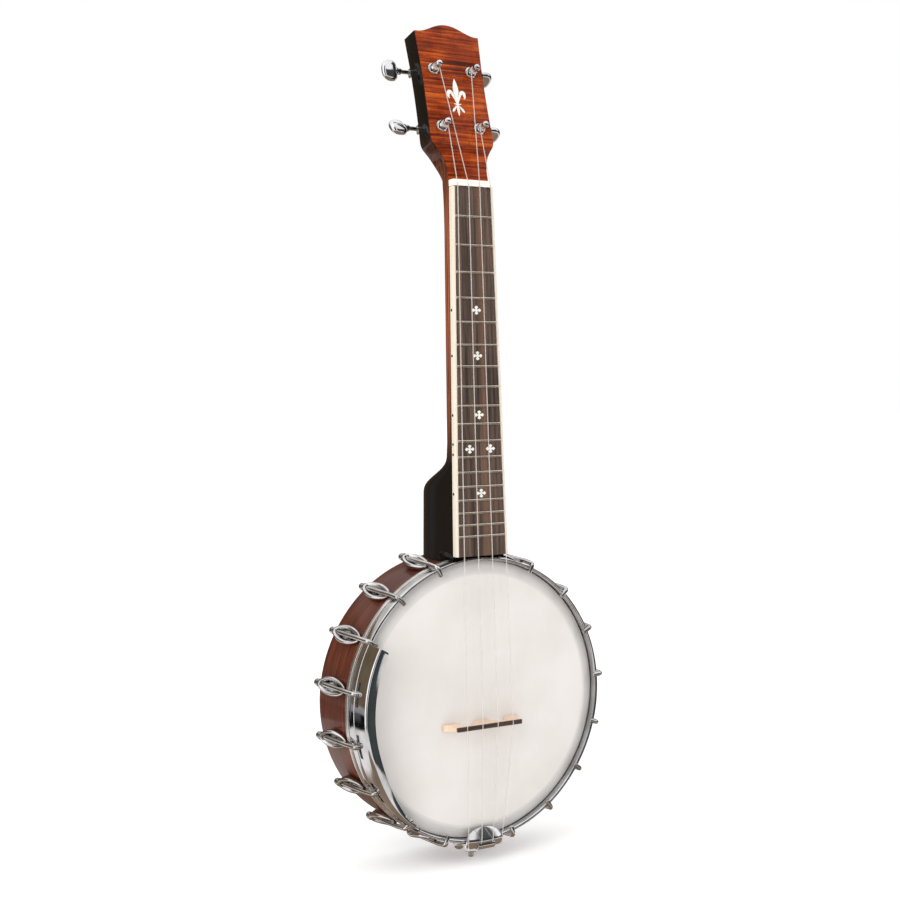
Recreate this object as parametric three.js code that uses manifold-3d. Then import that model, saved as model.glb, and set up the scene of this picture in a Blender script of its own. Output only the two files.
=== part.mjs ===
import * as THREE from 'three';
import { mergeVertices } from 'three/addons/utils/BufferGeometryUtils.js';
import Module from 'manifold-3d';

// A four-string concert banjolele, standing upright: +Z runs up the neck, the drum head faces -Y
// and +X is on the viewer's right. The pot is turned about the Y axis. All lengths are millimetres.

// Scale and neck
const SCALE_LENGTH = 381;
const NUT_Z = 363.6;
const BOARD_BOTTOM_Z = 103.4;
const BOARD_THICKNESS = 5.7;
const BOARD_HALF_AT_NUT = 16.5;
const BOARD_HALF_AT_BOTTOM = 21.3;
const BOARD_FRONT_Y = -10.2;
const NECK_PITCH = THREE.MathUtils.degToRad(2.07);
const NECK_DEPTH = 17.2;
const HEEL_BACK_Y = 53;
const HEEL_TOP_Z = 184;

// Headstock
const HEADSTOCK_PITCH = THREE.MathUtils.degToRad(12.9);
const HEADSTOCK_THICKNESS = 15;
const HEADSTOCK_DROP = 5;
const HEADSTOCK_FOOT = -8;
const HEADSTOCK_PEAK = 121.4;
const NUT_LENGTH = 4.4;

// Tuners: where the posts stand, and how far each button has been turned, as numbered from tuner_1
const POST_X = 15.5;
const POST_HEIGHTS = [42.4, 86];
const POST_RADIUS = 2.9;
const POST_HOLE = 3.3;
const BUTTON_TURNS = [38, 75, 0, 75];

// Pot
const RIM_OUTER = 100.6;
const RIM_INNER = 86.6;
const RIM_FRONT_Y = 6.4;
const RIM_BACK_Y = 53.1;
const HEAD_Y = -0.6;
const FILM = 0.3;
const TONE_RING_RADIUS = 90.5;
const TONE_ROD = 3.05;
const HOOP_INNER = 99.4;
const HOOP_OUTER = 101.8;
const HOOP_FRONT_Y = -3.2;
const HOOP_BACK_Y = 5.2;
const FLESH_OUTER = 102.4;
const FLESH_BACK_Y = 9.6;
const GAP = 0.3;
const SEGMENTS = 60;

// Brackets: eight hooks a side, the whole set turned a little on the rim
const HOOKS_PER_SIDE = 8;
const FIRST_HOOK_ANGLE = 22.4;
const HOOK_PITCH = 20.25;
const BRACKET_TURN = 2;
const HOOK_ROD = 1.7;
const HOOK_TIP_RADIUS = 96.2;
const HOOK_NUT_Y = 41;
const HOOK_OUT = 104;
const SHOE_Y = 25.5;
const SHOE_HALVES = [6.4, 15.2, 9];
const SHOE_HOLLOW = [4.9, 13, 8.2];
const SHOE_LEAN = Math.atan(0.22);

// Armrest
const ARMREST_TOP = -62;
const ARMREST_TIP = -147;
const ARMREST_RISE = 16.9;
const ARMREST_REACH = 8;
const ARMREST_TIP_RISE = 5;
const ARMREST_TIP_REACH = 3.4;
const ARMREST_BEND = 2.4;
const ARMREST_DROP = 1.4;
const ARMREST_PLATE = 1;
const ARMREST_SLOT = 17;

// Bridge, tailpiece and strings
const BRIDGE_Z = NUT_Z - SCALE_LENGTH;
const BRIDGE_HEIGHT = 14;
const BRIDGE_BASE = 62;
const BRIDGE_TOP = 53;
const BRIDGE_THICKNESS = 4.4;
const STRING_RADIUS = 0.35;
const STRING_SPACING_NUT = 9.05;
const STRING_SPACING_BRIDGE = 12.7;
const STRING_SPACING_TAIL = 9.4;
const TAILPIECE_HALF = 15.5;
const TAILPIECE_Z = -103.2;
const TAILPIECE_WALL = 1.3;
const STRAP_WIDTH = 14;
const TAIL_SCREW_Y = 13;

const wasm = await Module();
wasm.setup();

// ---------- helpers ----------

function material(color, roughness, metalness) {
  return new THREE.MeshStandardMaterial({ color, roughness, metalness });
}

const finish = {
  wood: () => material(0x5a2d1e, 0.3, 0),
  darkWood: () => material(0x2a1a15, 0.25, 0),
  board: () => material(0x41342d, 0.5, 0),
  bone: () => material(0xf3e6cc, 0.45, 0),
  film: () => material(0xe8e4de, 0.55, 0),
  maple: () => material(0xf2d2ac, 0.55, 0),
  chrome: () => material(0xd8d8dc, 0.12, 1),
  brass: () => material(0xb8964a, 0.35, 1),
  aluminium: () => material(0xc9c9c6, 0.35, 1),
  nylon: () => material(0xe9dfd2, 0.35, 0),
};

// A closed mesh as a manifold-3d solid, with its faces turned outwards.
function solid(geometry, matrix = new THREE.Matrix4()) {
  const bare = geometry.clone().applyMatrix4(matrix);
  bare.deleteAttribute('normal');
  bare.deleteAttribute('uv');
  const merged = mergeVertices(bare, 1e-4);
  const corners = merged.attributes.position;
  const index = Uint32Array.from(merged.index.array);
  const a = new THREE.Vector3();
  const b = new THREE.Vector3();
  const c = new THREE.Vector3();
  let volume = 0;
  for (let i = 0; i < index.length; i += 3) {
    a.fromBufferAttribute(corners, index[i]);
    b.fromBufferAttribute(corners, index[i + 1]);
    c.fromBufferAttribute(corners, index[i + 2]);
    volume += a.dot(b.cross(c));
  }
  if (volume < 0) {
    for (let i = 0; i < index.length; i += 3) {
      const first = index[i];
      index[i] = index[i + 1];
      index[i + 1] = first;
    }
  }
  const vertProperties = Float32Array.from(corners.array);
  return new wasm.Manifold(new wasm.Mesh({ numProp: 3, vertProperties, triVerts: index }));
}

function geometryOf(body) {
  const mesh = body.getMesh();
  const geometry = new THREE.BufferGeometry();
  geometry.setAttribute('position', new THREE.BufferAttribute(Float32Array.from(mesh.vertProperties), 3));
  geometry.setIndex(new THREE.BufferAttribute(Uint32Array.from(mesh.triVerts), 1));
  const flat = geometry.toNonIndexed();
  flat.computeVertexNormals();
  return flat;
}

function place(x, y, z, rx = 0, ry = 0, rz = 0, sx = 1, sy = 1, sz = 1) {
  const turn = new THREE.Quaternion().setFromEuler(new THREE.Euler(rx, ry, rz));
  return new THREE.Matrix4().compose(new THREE.Vector3(x, y, z), turn, new THREE.Vector3(sx, sy, sz));
}

function union(bodies) {
  return bodies.reduce((whole, body) => whole.add(body));
}

// A ring or disc turned about the Y axis from radius/depth corners.
function turned(corners, segments = SEGMENTS) {
  return solid(new THREE.LatheGeometry(corners.map(([r, y]) => new THREE.Vector2(r, y)), segments));
}

// A closed body through rings that all have the same number of points.
function loft(rings) {
  const sides = rings[0].length;
  const corners = rings.flat();
  const index = [];
  for (let ring = 0; ring + 1 < rings.length; ring += 1) {
    for (let side = 0; side < sides; side += 1) {
      const a = ring * sides + side;
      const b = ring * sides + ((side + 1) % sides);
      index.push(a, b, a + sides, b, b + sides, a + sides);
    }
  }
  for (const [start, flip] of [[0, true], [(rings.length - 1) * sides, false]]) {
    const outline = corners.slice(start, start + sides);
    const middle = corners.length;
    corners.push(outline.reduce((sum, p) => sum.add(p), new THREE.Vector3()).divideScalar(sides));
    for (let side = 0; side < sides; side += 1) {
      const a = start + side;
      const b = start + ((side + 1) % sides);
      index.push(...(flip ? [b, a, middle] : [a, b, middle]));
    }
  }
  const geometry = new THREE.BufferGeometry().setFromPoints(corners);
  geometry.setIndex(index);
  return solid(geometry);
}

// A circle of points round a centre, square to a direction.
function circleAcross(centre, direction, radius, sides) {
  const along = direction.clone().normalize();
  const turn = new THREE.Quaternion().setFromUnitVectors(new THREE.Vector3(0, 0, 1), along);
  return Array.from({ length: sides }, (_, i) => {
    const angle = (i / sides) * 2 * Math.PI;
    const spoke = new THREE.Vector3(radius * Math.cos(angle), radius * Math.sin(angle), 0);
    return spoke.applyQuaternion(turn).add(centre);
  });
}

// A round rod between two points.
function rod(from, to, radius, sides = 8) {
  const length = from.distanceTo(to);
  const direction = to.clone().sub(from).normalize();
  const turn = new THREE.Quaternion().setFromUnitVectors(new THREE.Vector3(0, 1, 0), direction);
  const middle = from.clone().add(to).multiplyScalar(0.5);
  const matrix = new THREE.Matrix4().compose(middle, turn, new THREE.Vector3(1, 1, 1));
  return solid(new THREE.CylinderGeometry(radius, radius, length, sides), matrix);
}

// A round wire along a curve.
function wire(curve, radius, steps, sides = 8) {
  const section = new THREE.Shape();
  for (let i = 0; i <= sides; i += 1) {
    const angle = (i / sides) * 2 * Math.PI;
    const corner = [radius * Math.cos(angle), radius * Math.sin(angle)];
    if (i === 0) section.moveTo(...corner);
    else section.lineTo(...corner);
  }
  return solid(new THREE.ExtrudeGeometry(section, { steps, extrudePath: curve, bevelEnabled: false }));
}

function node(name, body, look) {
  const mesh = new THREE.Mesh(geometryOf(body), look);
  mesh.name = name;
  return mesh;
}

const polar = (radius, degrees, y) => new THREE.Vector3(
  radius * Math.sin(THREE.MathUtils.degToRad(degrees)),
  y,
  radius * Math.cos(THREE.MathUtils.degToRad(degrees)),
);

// ---------- frames: board plane and headstock face ----------

// In the board frame y = 0 is the playing face and z runs along it; y grows towards the back.
const boardFrame = place(0, BOARD_FRONT_Y, 0, -NECK_PITCH);
const faceStart = NUT_Z + NUT_LENGTH * 0.6;
const faceFrame = boardFrame.clone().multiply(place(0, HEADSTOCK_DROP, faceStart, -HEADSTOCK_PITCH));
const onFace = (x, y, z) => new THREE.Vector3(x, y, z).applyMatrix4(faceFrame);
const onBoard = (x, y, z) => new THREE.Vector3(x, y, z).applyMatrix4(boardFrame);

function boardHalf(z) {
  const share = (NUT_Z - z) / (NUT_Z - BOARD_BOTTOM_Z);
  return THREE.MathUtils.lerp(BOARD_HALF_AT_NUT, BOARD_HALF_AT_BOTTOM, share);
}

// ---------- pot ----------

const STUD = 3;
const STUD_Y = 30;

function studHole(radius, fromZ, toZ) {
  return rod(new THREE.Vector3(0, STUD_Y, fromZ), new THREE.Vector3(0, STUD_Y, toZ), radius, 12);
}

function rim() {
  const ring = turned([
    [RIM_INNER, RIM_FRONT_Y], [RIM_OUTER, RIM_FRONT_Y], [RIM_OUTER, RIM_BACK_Y],
    [RIM_INNER, RIM_BACK_Y], [RIM_INNER, RIM_FRONT_Y],
  ]);
  return ring.subtract(studHole(STUD + GAP, -110, -80)).subtract(studHole(STUD + GAP, 80, 110));
}

function toneRing() {
  const corners = [];
  const sides = 6;
  for (let i = 0; i <= sides; i += 1) {
    const angle = ((i + 0.5) / sides) * 2 * Math.PI;
    corners.push([
      TONE_RING_RADIUS + TONE_ROD * Math.cos(angle),
      HEAD_Y + FILM + GAP + TONE_ROD + TONE_ROD * Math.sin(angle),
    ]);
  }
  corners[sides] = corners[0];
  return turned(corners);
}

// The film is flat over the tone ring and slopes back to the collar of the flesh hoop.
function head() {
  const wall = HOOP_INNER - GAP;
  return turned([
    [0, HEAD_Y], [TONE_RING_RADIUS + 0.7, HEAD_Y], [wall, 1.6], [wall - 0.4, 1.9],
    [TONE_RING_RADIUS + 0.6, HEAD_Y + FILM], [0, HEAD_Y + FILM],
  ]);
}

// The film's collar runs back inside the tension hoop, which bears on the metal ring at its edge.
function fleshHoop() {
  const wall = HOOP_INNER - GAP;
  const seat = HOOP_BACK_Y + GAP;
  const inner = RIM_OUTER + 0.35;
  return turned([
    [wall - 0.4, 2.2], [wall, 2.2], [wall, seat], [FLESH_OUTER, seat],
    [FLESH_OUTER, FLESH_BACK_Y], [inner, FLESH_BACK_Y], [inner, seat + 0.5],
    [wall - 0.4, seat + 0.5], [wall - 0.4, 2.2],
  ]);
}

function tensionHoop() {
  return turned([
    [HOOP_INNER, HOOP_BACK_Y], [HOOP_INNER, HOOP_FRONT_Y + 0.6], [HOOP_INNER + 0.6, HOOP_FRONT_Y],
    [HOOP_OUTER - 0.7, HOOP_FRONT_Y], [HOOP_OUTER, HOOP_FRONT_Y + 0.7], [HOOP_OUTER, HOOP_BACK_Y],
    [HOOP_INNER, HOOP_BACK_Y],
  ]);
}

// Coordinator rod across the pot: its studs pass through the rim into the heel and the tailpiece.
function coordinatorRod() {
  const at = (z) => new THREE.Vector3(0, STUD_Y, z);
  const bar = rod(at(-84), at(84), 4.5, 12);
  const studs = rod(at(-109), at(118), STUD, 12);
  const washers = [-1, 1].map((side) => rod(at(side * 83.5), at(side * 85.6), 6.2, 12));
  const endNut = rod(at(-106.8), at(-112), 5.2, 6);
  const nutDome = solid(new THREE.SphereGeometry(4.4, 12, 6), place(0, STUD_Y, -111.2));
  return union([bar, studs, ...washers, endNut, nutDome]);
}

// ---------- brackets ----------

const hookAngles = [];
for (const side of [-1, 1]) {
  for (let i = 0; i < HOOKS_PER_SIDE; i += 1) {
    hookAngles.push(side * (FIRST_HOOK_ANGLE + i * HOOK_PITCH) + BRACKET_TURN);
  }
}

const underArmrest = (degrees) => degrees < ARMREST_TOP && degrees > ARMREST_TIP;

// A dished oval shoe, seated on the rim at the top of the ring, with a hole for the hook's rod.
function shoe() {
  const outer = solid(
    new THREE.SphereGeometry(1, 10, 6),
    place(0, SHOE_Y, RIM_OUTER + 3.7, 0, 0, 0, ...SHOE_HALVES),
  );
  const hollow = solid(
    new THREE.SphereGeometry(1, 8, 6),
    place(0, SHOE_Y - 0.4, RIM_OUTER + 5.4, 0, 0, 0, ...SHOE_HOLLOW),
  );
  const slab = new THREE.BoxGeometry(20, 60, 12);
  const lid = solid(slab, place(0, SHOE_Y, RIM_OUTER + 11.8, SHOE_LEAN));
  const seat = solid(slab, place(0, SHOE_Y, RIM_OUTER + GAP - 6));
  const bore = rod(new THREE.Vector3(0, 30, 106.2), new THREE.Vector3(0, 44, 106.8), HOOK_ROD + GAP, 6);
  return outer.subtract(lid).subtract(hollow).subtract(seat).subtract(bore);
}

// A round hook with its nut: the rod leans in to the hoop and its tip lies over the hoop's front.
function hook(lift) {
  const tipY = HOOP_FRONT_Y - GAP - HOOK_ROD - lift;
  const back = new THREE.Vector3(0, HOOK_NUT_Y + 4, 106.7);
  const knee = new THREE.Vector3(0, 5, 104.9);
  const bend = new THREE.CurvePath();
  const over = new THREE.Vector3(0, tipY + 2.2, HOOK_OUT);
  const flat = new THREE.Vector3(0, tipY, HOOK_OUT - 2.4);
  bend.add(new THREE.LineCurve3(knee, over));
  bend.add(new THREE.QuadraticBezierCurve3(over, new THREE.Vector3(0, tipY, HOOK_OUT), flat));
  bend.add(new THREE.LineCurve3(flat, new THREE.Vector3(0, tipY, HOOK_TIP_RADIUS)));
  const shank = rod(back, knee.clone().add(new THREE.Vector3(0, -0.4, 0)), HOOK_ROD, 6);
  const nut = new THREE.LatheGeometry([
    new THREE.Vector2(0, 0), new THREE.Vector2(2.7, 0), new THREE.Vector2(2.7, 4.4),
    new THREE.Vector2(1.5, 6), new THREE.Vector2(0, 6),
  ], 8);
  return union([shank, wire(bend, HOOK_ROD, 7, 6), solid(nut, place(0, HOOK_NUT_Y, 106.7))]);
}

// ---------- armrest ----------

// The armrest's section at a share of its length: a straight wall, a tight bend and a flat top.
function armrestSection(share) {
  const bends = 3;
  const fall = THREE.MathUtils.smoothstep(share, 0.5, 1.02);
  const rise = THREE.MathUtils.lerp(ARMREST_RISE, ARMREST_TIP_RISE, fall);
  const reach = THREE.MathUtils.lerp(ARMREST_REACH, ARMREST_TIP_REACH, fall ** 2);
  const foot = HOOP_FRONT_Y - GAP;
  const bendY = foot - rise + ARMREST_BEND;
  const skin = [[0, foot]];
  for (let step = 0; step <= bends; step += 1) {
    const angle = (step / bends) * 0.5 * Math.PI;
    skin.push([ARMREST_BEND * (Math.cos(angle) - 1), bendY - ARMREST_BEND * Math.sin(angle)]);
  }
  skin.push([-reach, foot - rise + ARMREST_DROP]);
  const inner = skin.map(([r, y], step) => {
    const angle = THREE.MathUtils.clamp((step - 1) / bends, 0, 1) * 0.5 * Math.PI;
    return [r - ARMREST_PLATE * Math.cos(angle), y + ARMREST_PLATE * Math.sin(angle)];
  });
  return [...skin, ...inner.reverse()];
}

// The flat foot that the hooks hold down on the hoop.
function armrestFoot() {
  const top = HOOP_FRONT_Y - GAP;
  const ring = turned([
    [HOOP_INNER - 1.6, top], [HOOP_OUTER - 0.8, top], [HOOP_OUTER - 0.8, top - ARMREST_PLATE],
    [HOOP_INNER - 1.6, top - ARMREST_PLATE], [HOOP_INNER - 1.6, top],
  ]);
  const sector = new THREE.Shape();
  sector.moveTo(0, 0);
  for (let i = 0; i <= 8; i += 1) {
    const corner = polar(120, THREE.MathUtils.lerp(ARMREST_TOP - 1, ARMREST_TIP + 1, i / 8), 0);
    sector.lineTo(corner.x, -corner.z);
  }
  const wedge = new THREE.ExtrudeGeometry(sector, { depth: 10, bevelEnabled: false });
  return ring.intersect(solid(wedge, place(0, -7, 0, -Math.PI / 2)));
}

// A curved plate standing on the hoop, tapering to its lower tip, with a window for each hook.
function armrest() {
  const arcs = 17;
  const rings = [];
  for (let i = 0; i <= arcs; i += 1) {
    const degrees = THREE.MathUtils.lerp(ARMREST_TOP, ARMREST_TIP, i / arcs);
    const section = armrestSection(i / arcs);
    rings.push(section.map(([r, y]) => polar(HOOP_OUTER - 0.2 + r, degrees, y)));
  }
  let plate = loft(rings).add(armrestFoot());
  const height = 2 * HOOK_ROD + 1.4;
  const middleY = HOOP_FRONT_Y - GAP - ARMREST_PLATE - height / 2;
  for (const degrees of hookAngles.filter(underArmrest)) {
    const window = new THREE.BoxGeometry(ARMREST_SLOT, height, 10);
    plate = plate.subtract(solid(window, place(0, middleY, HOOP_OUTER - 1.6)).rotate([0, degrees, 0]));
  }
  return plate;
}

// ---------- neck ----------

// Half of a rounded outline, round the back from side to side; a squareness of 2 is an ellipse.
function roundedHalf(half, depth, squareness, steps) {
  return Array.from({ length: steps + 1 }, (_, i) => {
    const angle = (i / steps) * Math.PI;
    const c = Math.cos(angle);
    const x = Math.sign(c) * half * Math.abs(c) ** (2 / squareness);
    return [x, depth * Math.sin(angle) ** (2 / squareness)];
  });
}

// The neck's section at a height, closed by the flat under the board.
function neckRing(z, half, depth, squareness) {
  const section = roundedHalf(half, depth, squareness, 12);
  return section.map(([x, y]) => new THREE.Vector3(x, BOARD_THICKNESS + GAP + y, z));
}

// How far the heel has grown at a height: none at its top, all of it a hand's breadth lower.
function heelShare(z) {
  const share = THREE.MathUtils.clamp((HEEL_TOP_Z - z) / 36, 0, 1);
  return 0.12 * share + 0.88 * THREE.MathUtils.smootherstep(share, 0.25, 1);
}

// The right half from the nut to the peak, and its mirror image; y runs up the headstock.
function headstockOutline() {
  const half = new THREE.Path();
  half.moveTo(BOARD_HALF_AT_NUT, HEADSTOCK_FOOT);
  half.lineTo(BOARD_HALF_AT_NUT, 10.2);
  half.bezierCurveTo(17.6, 19.2, 20, 23.2, 24, 28.2);
  half.quadraticCurveTo(26.5, 31.2, 26.3, 35.2);
  half.quadraticCurveTo(25.2, 62, 25.7, 90);
  half.lineTo(26.8, 114.5);
  half.bezierCurveTo(17, 113.6, 11, HEADSTOCK_PEAK, 0, HEADSTOCK_PEAK);
  const right = half.getPoints(5);
  const left = right.slice(0, -1).reverse().map((p) => new THREE.Vector2(-p.x, p.y));
  return new THREE.Shape([...right, ...left]);
}

// What the slab keeps: its back corners are round at the throat, as the neck is, and square above.
function throat() {
  const proud = 2;
  const depth = HEADSTOCK_THICKNESS + proud + 0.4;
  const sections = [
    [HEADSTOCK_FOOT - 4, BOARD_HALF_AT_NUT + 0.2, 2.9],
    [4, 17.2, 3.2], [15, 20.5, 4.5], [26, 28, 8], [36, 31, 14],
    [HEADSTOCK_PEAK + 4, 31, 14],
  ];
  return loft(sections.map(([z, half, squareness]) => {
    const section = roundedHalf(half, depth, squareness, 16);
    return section.map(([x, y]) => onFace(x, y - proud, z));
  }));
}

function headstock() {
  const slab = new THREE.ExtrudeGeometry(headstockOutline(), {
    depth: HEADSTOCK_THICKNESS,
    bevelEnabled: false,
  });
  const upright = place(0, HEADSTOCK_THICKNESS, 0, Math.PI / 2);
  return solid(slab, faceFrame.clone().multiply(upright)).intersect(throat());
}

function neck() {
  const rings = [];
  const stations = [92, 112, 132, 144, 149, 153, 157, 161, 166, 172, 178, 184, 230, 300, 346];
  for (const z of stations) {
    const share = heelShare(z);
    const full = HEEL_BACK_Y - BOARD_FRONT_Y - z * Math.tan(NECK_PITCH) - BOARD_THICKNESS - GAP;
    const depth = THREE.MathUtils.lerp(NECK_DEPTH, full, share);
    rings.push(neckRing(z, boardHalf(z) - 0.2, depth, THREE.MathUtils.lerp(2.5, 5, share)));
  }
  rings.push(neckRing(357, boardHalf(357) - 0.2, NECK_DEPTH + 1, 2.5));
  rings.push(neckRing(368, boardHalf(NUT_Z) - 0.1, NECK_DEPTH + 1.5, 2.7));
  rings.push(neckRing(378, boardHalf(NUT_Z) - 0.6, NECK_DEPTH - 0.5, 2.9));
  let body = loft(rings.map((ring) => ring.map((p) => p.applyMatrix4(boardFrame))));
  const frontOfFace = faceFrame.clone().multiply(place(0, -20, 90));
  const aboveFace = solid(new THREE.BoxGeometry(80, 40, 200), frontOfFace);
  body = body.subtract(aboveFace).add(headstock());
  const nutSeat = solid(
    new THREE.BoxGeometry(60, 30, 40),
    boardFrame.clone().multiply(place(0, BOARD_THICKNESS + GAP - 15, NUT_Z - 20 + NUT_LENGTH + 0.2)),
  );
  body = body.subtract(nutSeat);
  const potClearance = turned([
    [0, -30], [FLESH_OUTER + GAP, -30], [FLESH_OUTER + GAP, FLESH_BACK_Y + GAP],
    [RIM_OUTER + GAP, FLESH_BACK_Y + GAP],
    [RIM_OUTER + GAP, 70], [0, 70],
  ], 80);
  body = body.subtract(potClearance).subtract(studHole(STUD + GAP, 90, 118.6));
  for (const [x, z] of postPlaces()) {
    body = body.subtract(rod(onFace(x, -5, z), onFace(x, 30, z), POST_HOLE, 12));
  }
  return body;
}

function fingerboard() {
  const outline = new THREE.Shape([
    new THREE.Vector2(-boardHalf(BOARD_BOTTOM_Z), BOARD_BOTTOM_Z),
    new THREE.Vector2(boardHalf(BOARD_BOTTOM_Z), BOARD_BOTTOM_Z),
    new THREE.Vector2(BOARD_HALF_AT_NUT, NUT_Z - GAP),
    new THREE.Vector2(-BOARD_HALF_AT_NUT, NUT_Z - GAP),
  ]);
  const slab = new THREE.ExtrudeGeometry(outline, { depth: BOARD_THICKNESS, bevelEnabled: false });
  return solid(slab, boardFrame.clone().multiply(place(0, BOARD_THICKNESS, 0, Math.PI / 2)));
}

// The nut's top stands a little proud of the board and falls away towards the headstock.
function nut() {
  const side = new THREE.Shape([
    new THREE.Vector2(0, -1.4),
    new THREE.Vector2(NUT_LENGTH, -0.6),
    new THREE.Vector2(NUT_LENGTH, BOARD_THICKNESS),
    new THREE.Vector2(0, BOARD_THICKNESS),
  ]);
  const bar = new THREE.ExtrudeGeometry(side, { depth: 2 * BOARD_HALF_AT_NUT, bevelEnabled: false });
  const turn = new THREE.Matrix4().makeBasis(
    new THREE.Vector3(0, 0, 1),
    new THREE.Vector3(0, 1, 0),
    new THREE.Vector3(-1, 0, 0),
  );
  return solid(bar, boardFrame.clone().multiply(place(BOARD_HALF_AT_NUT, 0, NUT_Z)).multiply(turn));
}

// ---------- tuners ----------

function postPlaces() {
  return POST_HEIGHTS.flatMap((z) => [[-POST_X, z], [POST_X, z]]);
}

const PLATE_Y = HEADSTOCK_THICKNESS + GAP;
const PLATE = 1.2;
const SHAFT_Y = PLATE_Y + PLATE + 4.3;
const SHAFT_RISE = 6;
const SHAFT_RADIUS = 1.5;
const WORM_RADIUS = 1.8;
const WHEEL_RADIUS = 3.9;
const LUG_X = 6.5;
const GRIP_X = 23.6;
const GRIP_HALVES = [6.3, 3.6, 7.9];

// Base plate with two lugs that carry the worm's shaft.
function tunerPlate(x, z) {
  const frame = faceFrame.clone().multiply(place(x, 0, z));
  const block = (width, depth, height, bx, by, bz) => {
    const box = new THREE.BoxGeometry(width, depth, height);
    return solid(box, frame.clone().multiply(place(bx, by, bz)));
  };
  let plate = block(15, PLATE, 22, 0, PLATE_Y + PLATE / 2, 1.5);
  for (const lug of [-1, 1]) {
    plate = plate.add(block(1.6, 7.4, 6.4, lug * LUG_X, PLATE_Y + PLATE + 3.6, SHAFT_RISE));
  }
  const at = (px, py, pz) => onFace(x + px, py, z + pz);
  const shaftHole = rod(at(-12, SHAFT_Y, SHAFT_RISE), at(12, SHAFT_Y, SHAFT_RISE), SHAFT_RADIUS + GAP, 12);
  const postHole = rod(at(0, PLATE_Y - 2, 0), at(0, PLATE_Y + 3, 0), POST_HOLE, 12);
  return plate.subtract(shaftHole).subtract(postHole);
}

// String post with its worm wheel behind the plate.
function stringPost(x, z) {
  const at = (y) => onFace(x, y, z);
  const shaft = rod(at(-8.6), at(PLATE_Y + PLATE + 1), POST_RADIUS, 12);
  const tip = rod(at(-11.2), at(-8.4), 2.4, 12);
  const wheel = rod(at(PLATE_Y + PLATE + 0.6), at(PLATE_Y + PLATE + 7), WHEEL_RADIUS, 14);
  return union([shaft, tip, wheel]);
}

// Button, shaft and worm turn together.
function tunerButton(x, z, turn) {
  const side = Math.sign(x);
  const at = (px) => onFace(x + side * px, SHAFT_Y, z + SHAFT_RISE);
  const shaft = rod(at(-9.2), at(20), SHAFT_RADIUS, 8);
  const worm = rod(at(-5.2), at(5.2), WORM_RADIUS, 8);
  const collar = rod(at(15.2), at(18.2), 2.4, 8);
  const rolled = THREE.MathUtils.degToRad(turn);
  const grip = solid(
    new THREE.SphereGeometry(1, 12, 8),
    faceFrame.clone().multiply(
      place(x + side * GRIP_X, SHAFT_Y, z + SHAFT_RISE, rolled, 0, 0, ...GRIP_HALVES),
    ),
  );
  return union([shaft, worm, collar, grip]);
}

// ---------- bridge, tailpiece and strings ----------

const BRIDGE_FOOT_Y = HEAD_Y - GAP;

// Three feet with an arch between each pair.
function bridge() {
  const half = BRIDGE_BASE / 2;
  const shape = new THREE.Shape();
  shape.moveTo(-half, 0);
  shape.lineTo(-half, 3.4);
  shape.quadraticCurveTo(-half + 3.5, 5, -BRIDGE_TOP / 2, BRIDGE_HEIGHT);
  shape.lineTo(BRIDGE_TOP / 2, BRIDGE_HEIGHT);
  shape.quadraticCurveTo(half - 3.5, 5, half, 3.4);
  shape.lineTo(half, 0);
  for (const [from, to] of [[half - 11, 5.5], [-5.5, -half + 11]]) {
    shape.lineTo(from, 0);
    shape.bezierCurveTo(from - 1, 9, to + 1, 9, to, 0);
  }
  const slab = new THREE.ExtrudeGeometry(shape, {
    depth: BRIDGE_THICKNESS,
    bevelEnabled: false,
    curveSegments: 6,
  });
  const upside = place(0, BRIDGE_FOOT_Y, BRIDGE_Z + BRIDGE_THICKNESS / 2, Math.PI);
  return solid(slab, upside);
}

// A half-moon cover over the hoop with a strap down to the end nut, and a screw that bears on the rim.
function tailpiece() {
  const half = TAILPIECE_HALF;
  const ball = new THREE.SphereGeometry(1, 16, 8);
  const dome = solid(ball, place(0, -3.5, TAILPIECE_Z, 0, 0, 0, half, 5.3, 12.6));
  const hollow = solid(ball, place(0, -2.4, TAILPIECE_Z, 0, 0, 0, half - TAILPIECE_WALL, 4.9, 11.2));
  const below = solid(new THREE.BoxGeometry(60, 30, 40), place(0, -3.6 + 15, -95));
  const under = solid(new THREE.BoxGeometry(60, 60, 30), place(0, 0, -103.8 - 15));
  let cover = dome.subtract(hollow).subtract(below).subtract(under);
  const strap = new THREE.Shape();
  strap.moveTo(-103.4, -8.6);
  strap.quadraticCurveTo(-105, -8.2, -105.2, -4);
  strap.lineTo(-105.2, 38);
  strap.lineTo(-103.6, 38);
  strap.lineTo(-103.6, -4);
  strap.quadraticCurveTo(-103.4, -7.2, -102.2, -7.4);
  strap.lineTo(-100.2, -7.2);
  strap.lineTo(-100.2, -8.4);
  const turn = new THREE.Matrix4().makeBasis(
    new THREE.Vector3(0, 0, 1),
    new THREE.Vector3(0, 1, 0),
    new THREE.Vector3(-1, 0, 0),
  );
  const band = new THREE.ExtrudeGeometry(strap, {
    depth: STRAP_WIDTH,
    bevelEnabled: false,
    curveSegments: 5,
  });
  cover = cover.add(solid(band, place(STRAP_WIDTH / 2, 0, 0).multiply(turn)));
  const at = (z) => new THREE.Vector3(0, TAIL_SCREW_Y, z);
  const screw = rod(at(-RIM_OUTER - GAP), at(-116.6), 2.2, 10);
  const washer = rod(at(-105), at(-106.4), 6.6, 14);
  const hexNut = rod(at(-106.2), at(-112.2), 5, 6);
  return union([cover.subtract(studHole(STUD + GAP, -110, -100)), screw, washer, hexNut]);
}

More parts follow.
